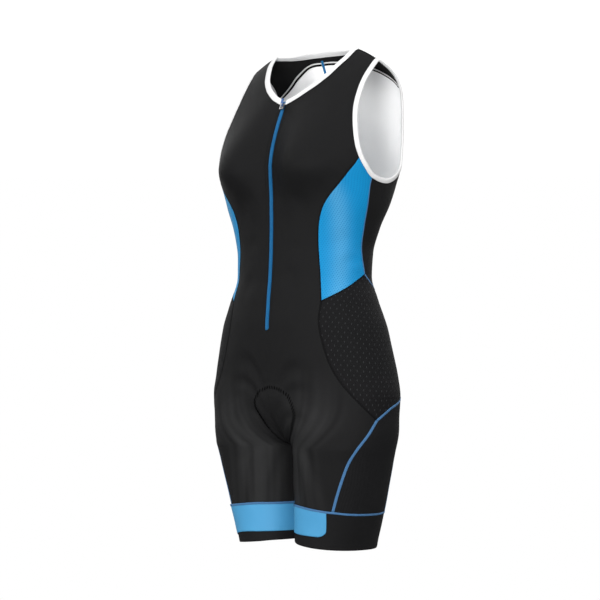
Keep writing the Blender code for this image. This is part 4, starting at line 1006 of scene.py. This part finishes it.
# Each blue piece has one round lower corner; its columns and rows are those of the band's grid
patchCut = {"bandTop": 71, "bandDeep": 63, "corner": 8, "cornerColumns": 2.6, "closeColumns": 3.2,
            "under": 0.2, "over": 1.45}
shares = np.array([0.03, 0.06, 0.2, 0.35, 0.5, 0.65, 0.8, 0.93, 0.97, 1.0])[:, None]
for letter, side in sides:
    patch = patches[letter]
    last = float(np.interp(patch["end"], bandGrid[0, :, 0], np.arange(bandGrid.shape[1])))
    close = last - patchCut["closeColumns"] * (1 - np.sin(np.linspace(0, np.pi / 2, 13)[1:]))
    columns = np.concatenate([np.linspace(1.0, last - patchCut["closeColumns"], 40), close])
    level = patch["frontLow"] + (patch["endLow"] - patch["frontLow"]) * smoothStep(0.5, 1.0, columns / last)
    near = np.clip(1 - (last - columns) / patchCut["cornerColumns"], 0, 1)
    level = level + patchCut["corner"] * (1 - np.sqrt(np.maximum(0, 1 - near ** 2)))
    low = (patchCut["bandTop"] - level) / patchCut["bandDeep"] * (bandGrid.shape[0] - 1)
    keys = readGrid(bandGrid, shares * low[None, :], columns + patch["lean"] * shares * (columns / last) ** 4)
    ob = layOn("cloth_band_patch_" + letter, keys, side, patchCut["under"], patchCut["over"], "bluePatch")
    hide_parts("band_patch_" + letter)

# Inside the back: tape down the centre seam, piping and edge under the yoke
tapeKeys = joined(centreYoke[16:], centreBack)[:-1]
points, normals = clothPlace(*tapeKeys.T, 1)
inMiddle = np.array([0, 1, 1])
ob = tapeSweep("tape_back", points * inMiddle, unit(normals * inMiddle), np.ones(len(points)),
               [(-2.5, 0), (-2.5, -0.6), (-1.2, -0.8), (0, -0.7), (1.2, -0.8), (2.5, -0.6), (2.5, 0)])
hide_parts("back_tape")
trims = {"yoke_piping": (0.4, 2.4, "whiteBinding"), "yoke_edge": (3.0, 4.0, "blackThread")}  # start, width
trimCut = {"under": -1.6, "over": -2.6, "taper": 0.4}
backGrid = pieces["back_panel"]["blocks"][1]
upper = clothPlace(*backGrid[0:5, 20].T, 1)[0]
rowStep = np.linalg.norm(np.diff(upper, axis=0), axis=1).mean()
columns = np.linspace(3.6, backGrid.shape[1] - 1.8, 60)
for node, (first, wide, cloth) in trims.items():
    for letter, side in sides:
        rows = np.array([first, first + trimCut["taper"], first + wide - trimCut["taper"], first + wide])
        keys = readGrid(backGrid, rows[:, None] / rowStep, columns)
        ob = layOn("trim_" + node + "_" + letter, keys, side, trimCut["under"], trimCut["over"], cloth)
        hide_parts(node + "_" + letter)
print("patches and trims on")

# Seat pad inside the crotch, and its stitches that show through the front
pad = {"thick": 6.0, "edge": 1.4, "across": 14, "rows": 30, "groove": 1.4, "grooveAt": 0.42,
       "grooveWidth": 0.05, "gap": 0.9, "crotchGap": 2.8, "crotchRows": 13.0, "endRows": 6, "sideRows": 5,
       "halfWidth": 45, "rowLength": 5.0, "stitchReach": 2.9, "stitchLift": 0.6, "stitchFrom": 160}
outerFront, outerBack = seamLine(padFront, pad["rows"], False), seamLine(padBack, pad["rows"], False)
middleFront = seamLine([(0, 268), (0, 220), (0, 168)], pad["rows"], False)
middleBack = seamLine([(1, 168), (1, 230), (1, 306)], pad["rows"], False)
outer, middle = joined(outerFront, outerBack), joined(middleFront, middleBack)
shares = np.abs(np.linspace(-1, 1, 2 * pad["across"] + 1))[None, :]
keys = middle[:, None] * (1 - shares[..., None]) + outer[:, None] * shares[..., None]
rows, cols = keys.shape[:2]
place, out = suitSurface(keys[..., 0], keys[..., 1]), suitOutward(keys[..., 0], keys[..., 1])
out[pad["rows"], pad["across"]] = (0, 0, -1)
nearCrotch = np.exp(-((np.arange(rows) - pad["rows"]) / pad["crotchRows"]) ** 2)[:, None]
gap = (form["wall"] + pad["gap"] + pad["crotchGap"] * nearCrotch * (1 - 0.3 * shares))[..., None]
endShare = np.minimum(np.arange(rows), np.arange(rows)[::-1])[:, None] / pad["endRows"]
rise = np.minimum(1, np.minimum((1 - shares) * pad["across"] / pad["sideRows"], endShare))
crown = pad["edge"] + (pad["thick"] - pad["edge"]) * np.sqrt(np.clip(1 - (1 - rise) ** 2, 0, 1))
groove = np.exp(-((shares - pad["grooveAt"]) / pad["grooveWidth"]) ** 2) * (rise > 0.9)
crown = crown - pad["groove"] * groove
skins = np.stack([place - out * gap, place - out * (gap + crown[..., None])])
sign = np.sign(np.linspace(-1, 1, cols))[None, :]
skins[..., 0] *= sign
faces = gridFaces(np.arange(rows * cols).reshape(rows, cols))
walls = shellFaces(faces, sorted(edgesOf(faces)[1]), rows * cols)
uv = np.stack(np.broadcast_arrays(shares * sign * pad["halfWidth"],
                                  np.arange(rows)[:, None] * pad["rowLength"]), -1).reshape(-1, 2)
padObject = meshObject("seat_pad_foam", toMetres(skins.reshape(-1, 3)), walls, ["padFleece"],
                       np.vstack([uv, uv]))
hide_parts("seat_pad")
shown = {"L": seamLine(imprintLeft, 36, False), "R": seamLine(imprintRight, 32, False)}
pitch, length, width, height, cloth = stitches["pad"]
for letter, side in sides:
    for part, outline in (("front", shown[letter]), ("back", outerBack)):
        keys = outline[outline[:, 1] > pad["stitchFrom"]]
        line, out, ahead = smoothPath(keys, side)
        across = unit(np.cross(out, ahead))
        count = int(lengthsAlong(line)[-1] / pitch)
        ends = []
        for way in (1, -1):  # from one side of the outline slantwise to the other
            rim = clothPlace(*stepInto(keys, across * way, pad["stitchReach"]).T, side, pad["stitchLift"])[0]
            ends.append(stitchesAlong(rim, out, lengthsAlong(rim)[-1] / (count + 0.5), length))
        stitchObject("stitch_pad_%s_%s" % (part, letter), ends[0][0], ends[1][1], ends[0][2], width, height,
                     cloth, side)
print("pad in place")

# Metal of the slider and enamel of the tab
metals = {"sliderMetal": {"colour": (0.42, 0.42, 0.43), "rough": 0.32, "metal": 1.0, "gloss": 0.5},
          "tabEnamel": {"colour": (0.02, 0.07, 0.2), "rough": 0.35, "gloss": 0.5}}


def hardMaterial(name, look):
    material, tree, shader = newMaterial(name)
    tone = placeGroup(tree, toneGroup, Color=(*look["colour"], 1), Change=0.5, Roughness=look["rough"])
    noise = newNode(tree, "TexNoise", {"Scale": 900.0})
    coverShader(tree, shader, look, tone, tone.outputs["Color"], noise.outputs["Fac"], 0.15, 0.0001)
    return material


for node, look in (("zip_slider", "sliderMetal"), ("zip_pull", "tabEnamel")):
    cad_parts[node].data.materials[0] = hardMaterial(look, metals[look])

# Floor, studio light and world: white to the eye, softer from below on the cloth
studio = {"key": 118, "fill": 30, "rim": 12, "sky": 1.7, "ground": 0.22, "floorTone": 0.14,
          "floorLevel": -1.46}
bpy.ops.mesh.primitive_circle_add(vertices=96, radius=30, fill_type="NGON",
                                  location=(0, 0, studio["floorLevel"]))
floor = bpy.context.object
floor.name = "floor"
paper, tree, shader = newMaterial("floorPaper")
shader.inputs["Base Color"].default_value = (studio["floorTone"],) * 3 + (1,)
shader.inputs["Roughness"].default_value = 0.9
shader.inputs["Specular IOR Level"].default_value = 0.1
glow, rays = newNode(tree, "Emission", {}), newNode(tree, "LightPath", {})
blend = newNode(tree, "MixShader", {0: rays.outputs["Is Camera Ray"], 1: shader.outputs[0],
                                    2: glow.outputs[0]})
tree.links.new(blend.outputs[0], tree.nodes["Material Output"].inputs["Surface"])
floor.data.materials.append(paper)
world = bpy.data.worlds.new("studio")
world.use_nodes = True
tree = world.node_tree
place, rays = newNode(tree, "TexCoord", {}), newNode(tree, "LightPath", {})
sky = mapRange(tree, splitAxes(tree, place.outputs["Generated"])[2], (-0.5, 0.6),
               (studio["ground"], studio["sky"]), "LINEAR")
power = maths(tree, "MAXIMUM", sky, rays.outputs["Is Camera Ray"])
tree.nodes["Background"].inputs["Color"].default_value = (1, 1, 1, 1)
tree.links.new(power, tree.nodes["Background"].inputs["Strength"])
scene.world = world


def softBox(name, place, size, power):
    light = bpy.data.lights.new(name, "AREA")
    light.shape = "RECTANGLE"
    light.size, light.size_y = size
    light.energy = power
    ob = bpy.data.objects.new(name, light)
    ob.location = place
    ob.rotation_euler = (Vector((0, 0, -0.4)) - Vector(place)).to_track_quat("-Z", "Y").to_euler()
    scene.collection.objects.link(ob)


softBox("keyLight", (1.2, -3.3, -0.45), (1.2, 2.0), studio["key"])
softBox("fillLight", (3.4, -1.2, 0.4), (0.9, 1.8), studio["fill"])
softBox("backLight", (0.6, 2.8, 1.2), (1.6, 1.6), studio["rim"])
scene.view_settings.view_transform = "Standard"
print("studio set")
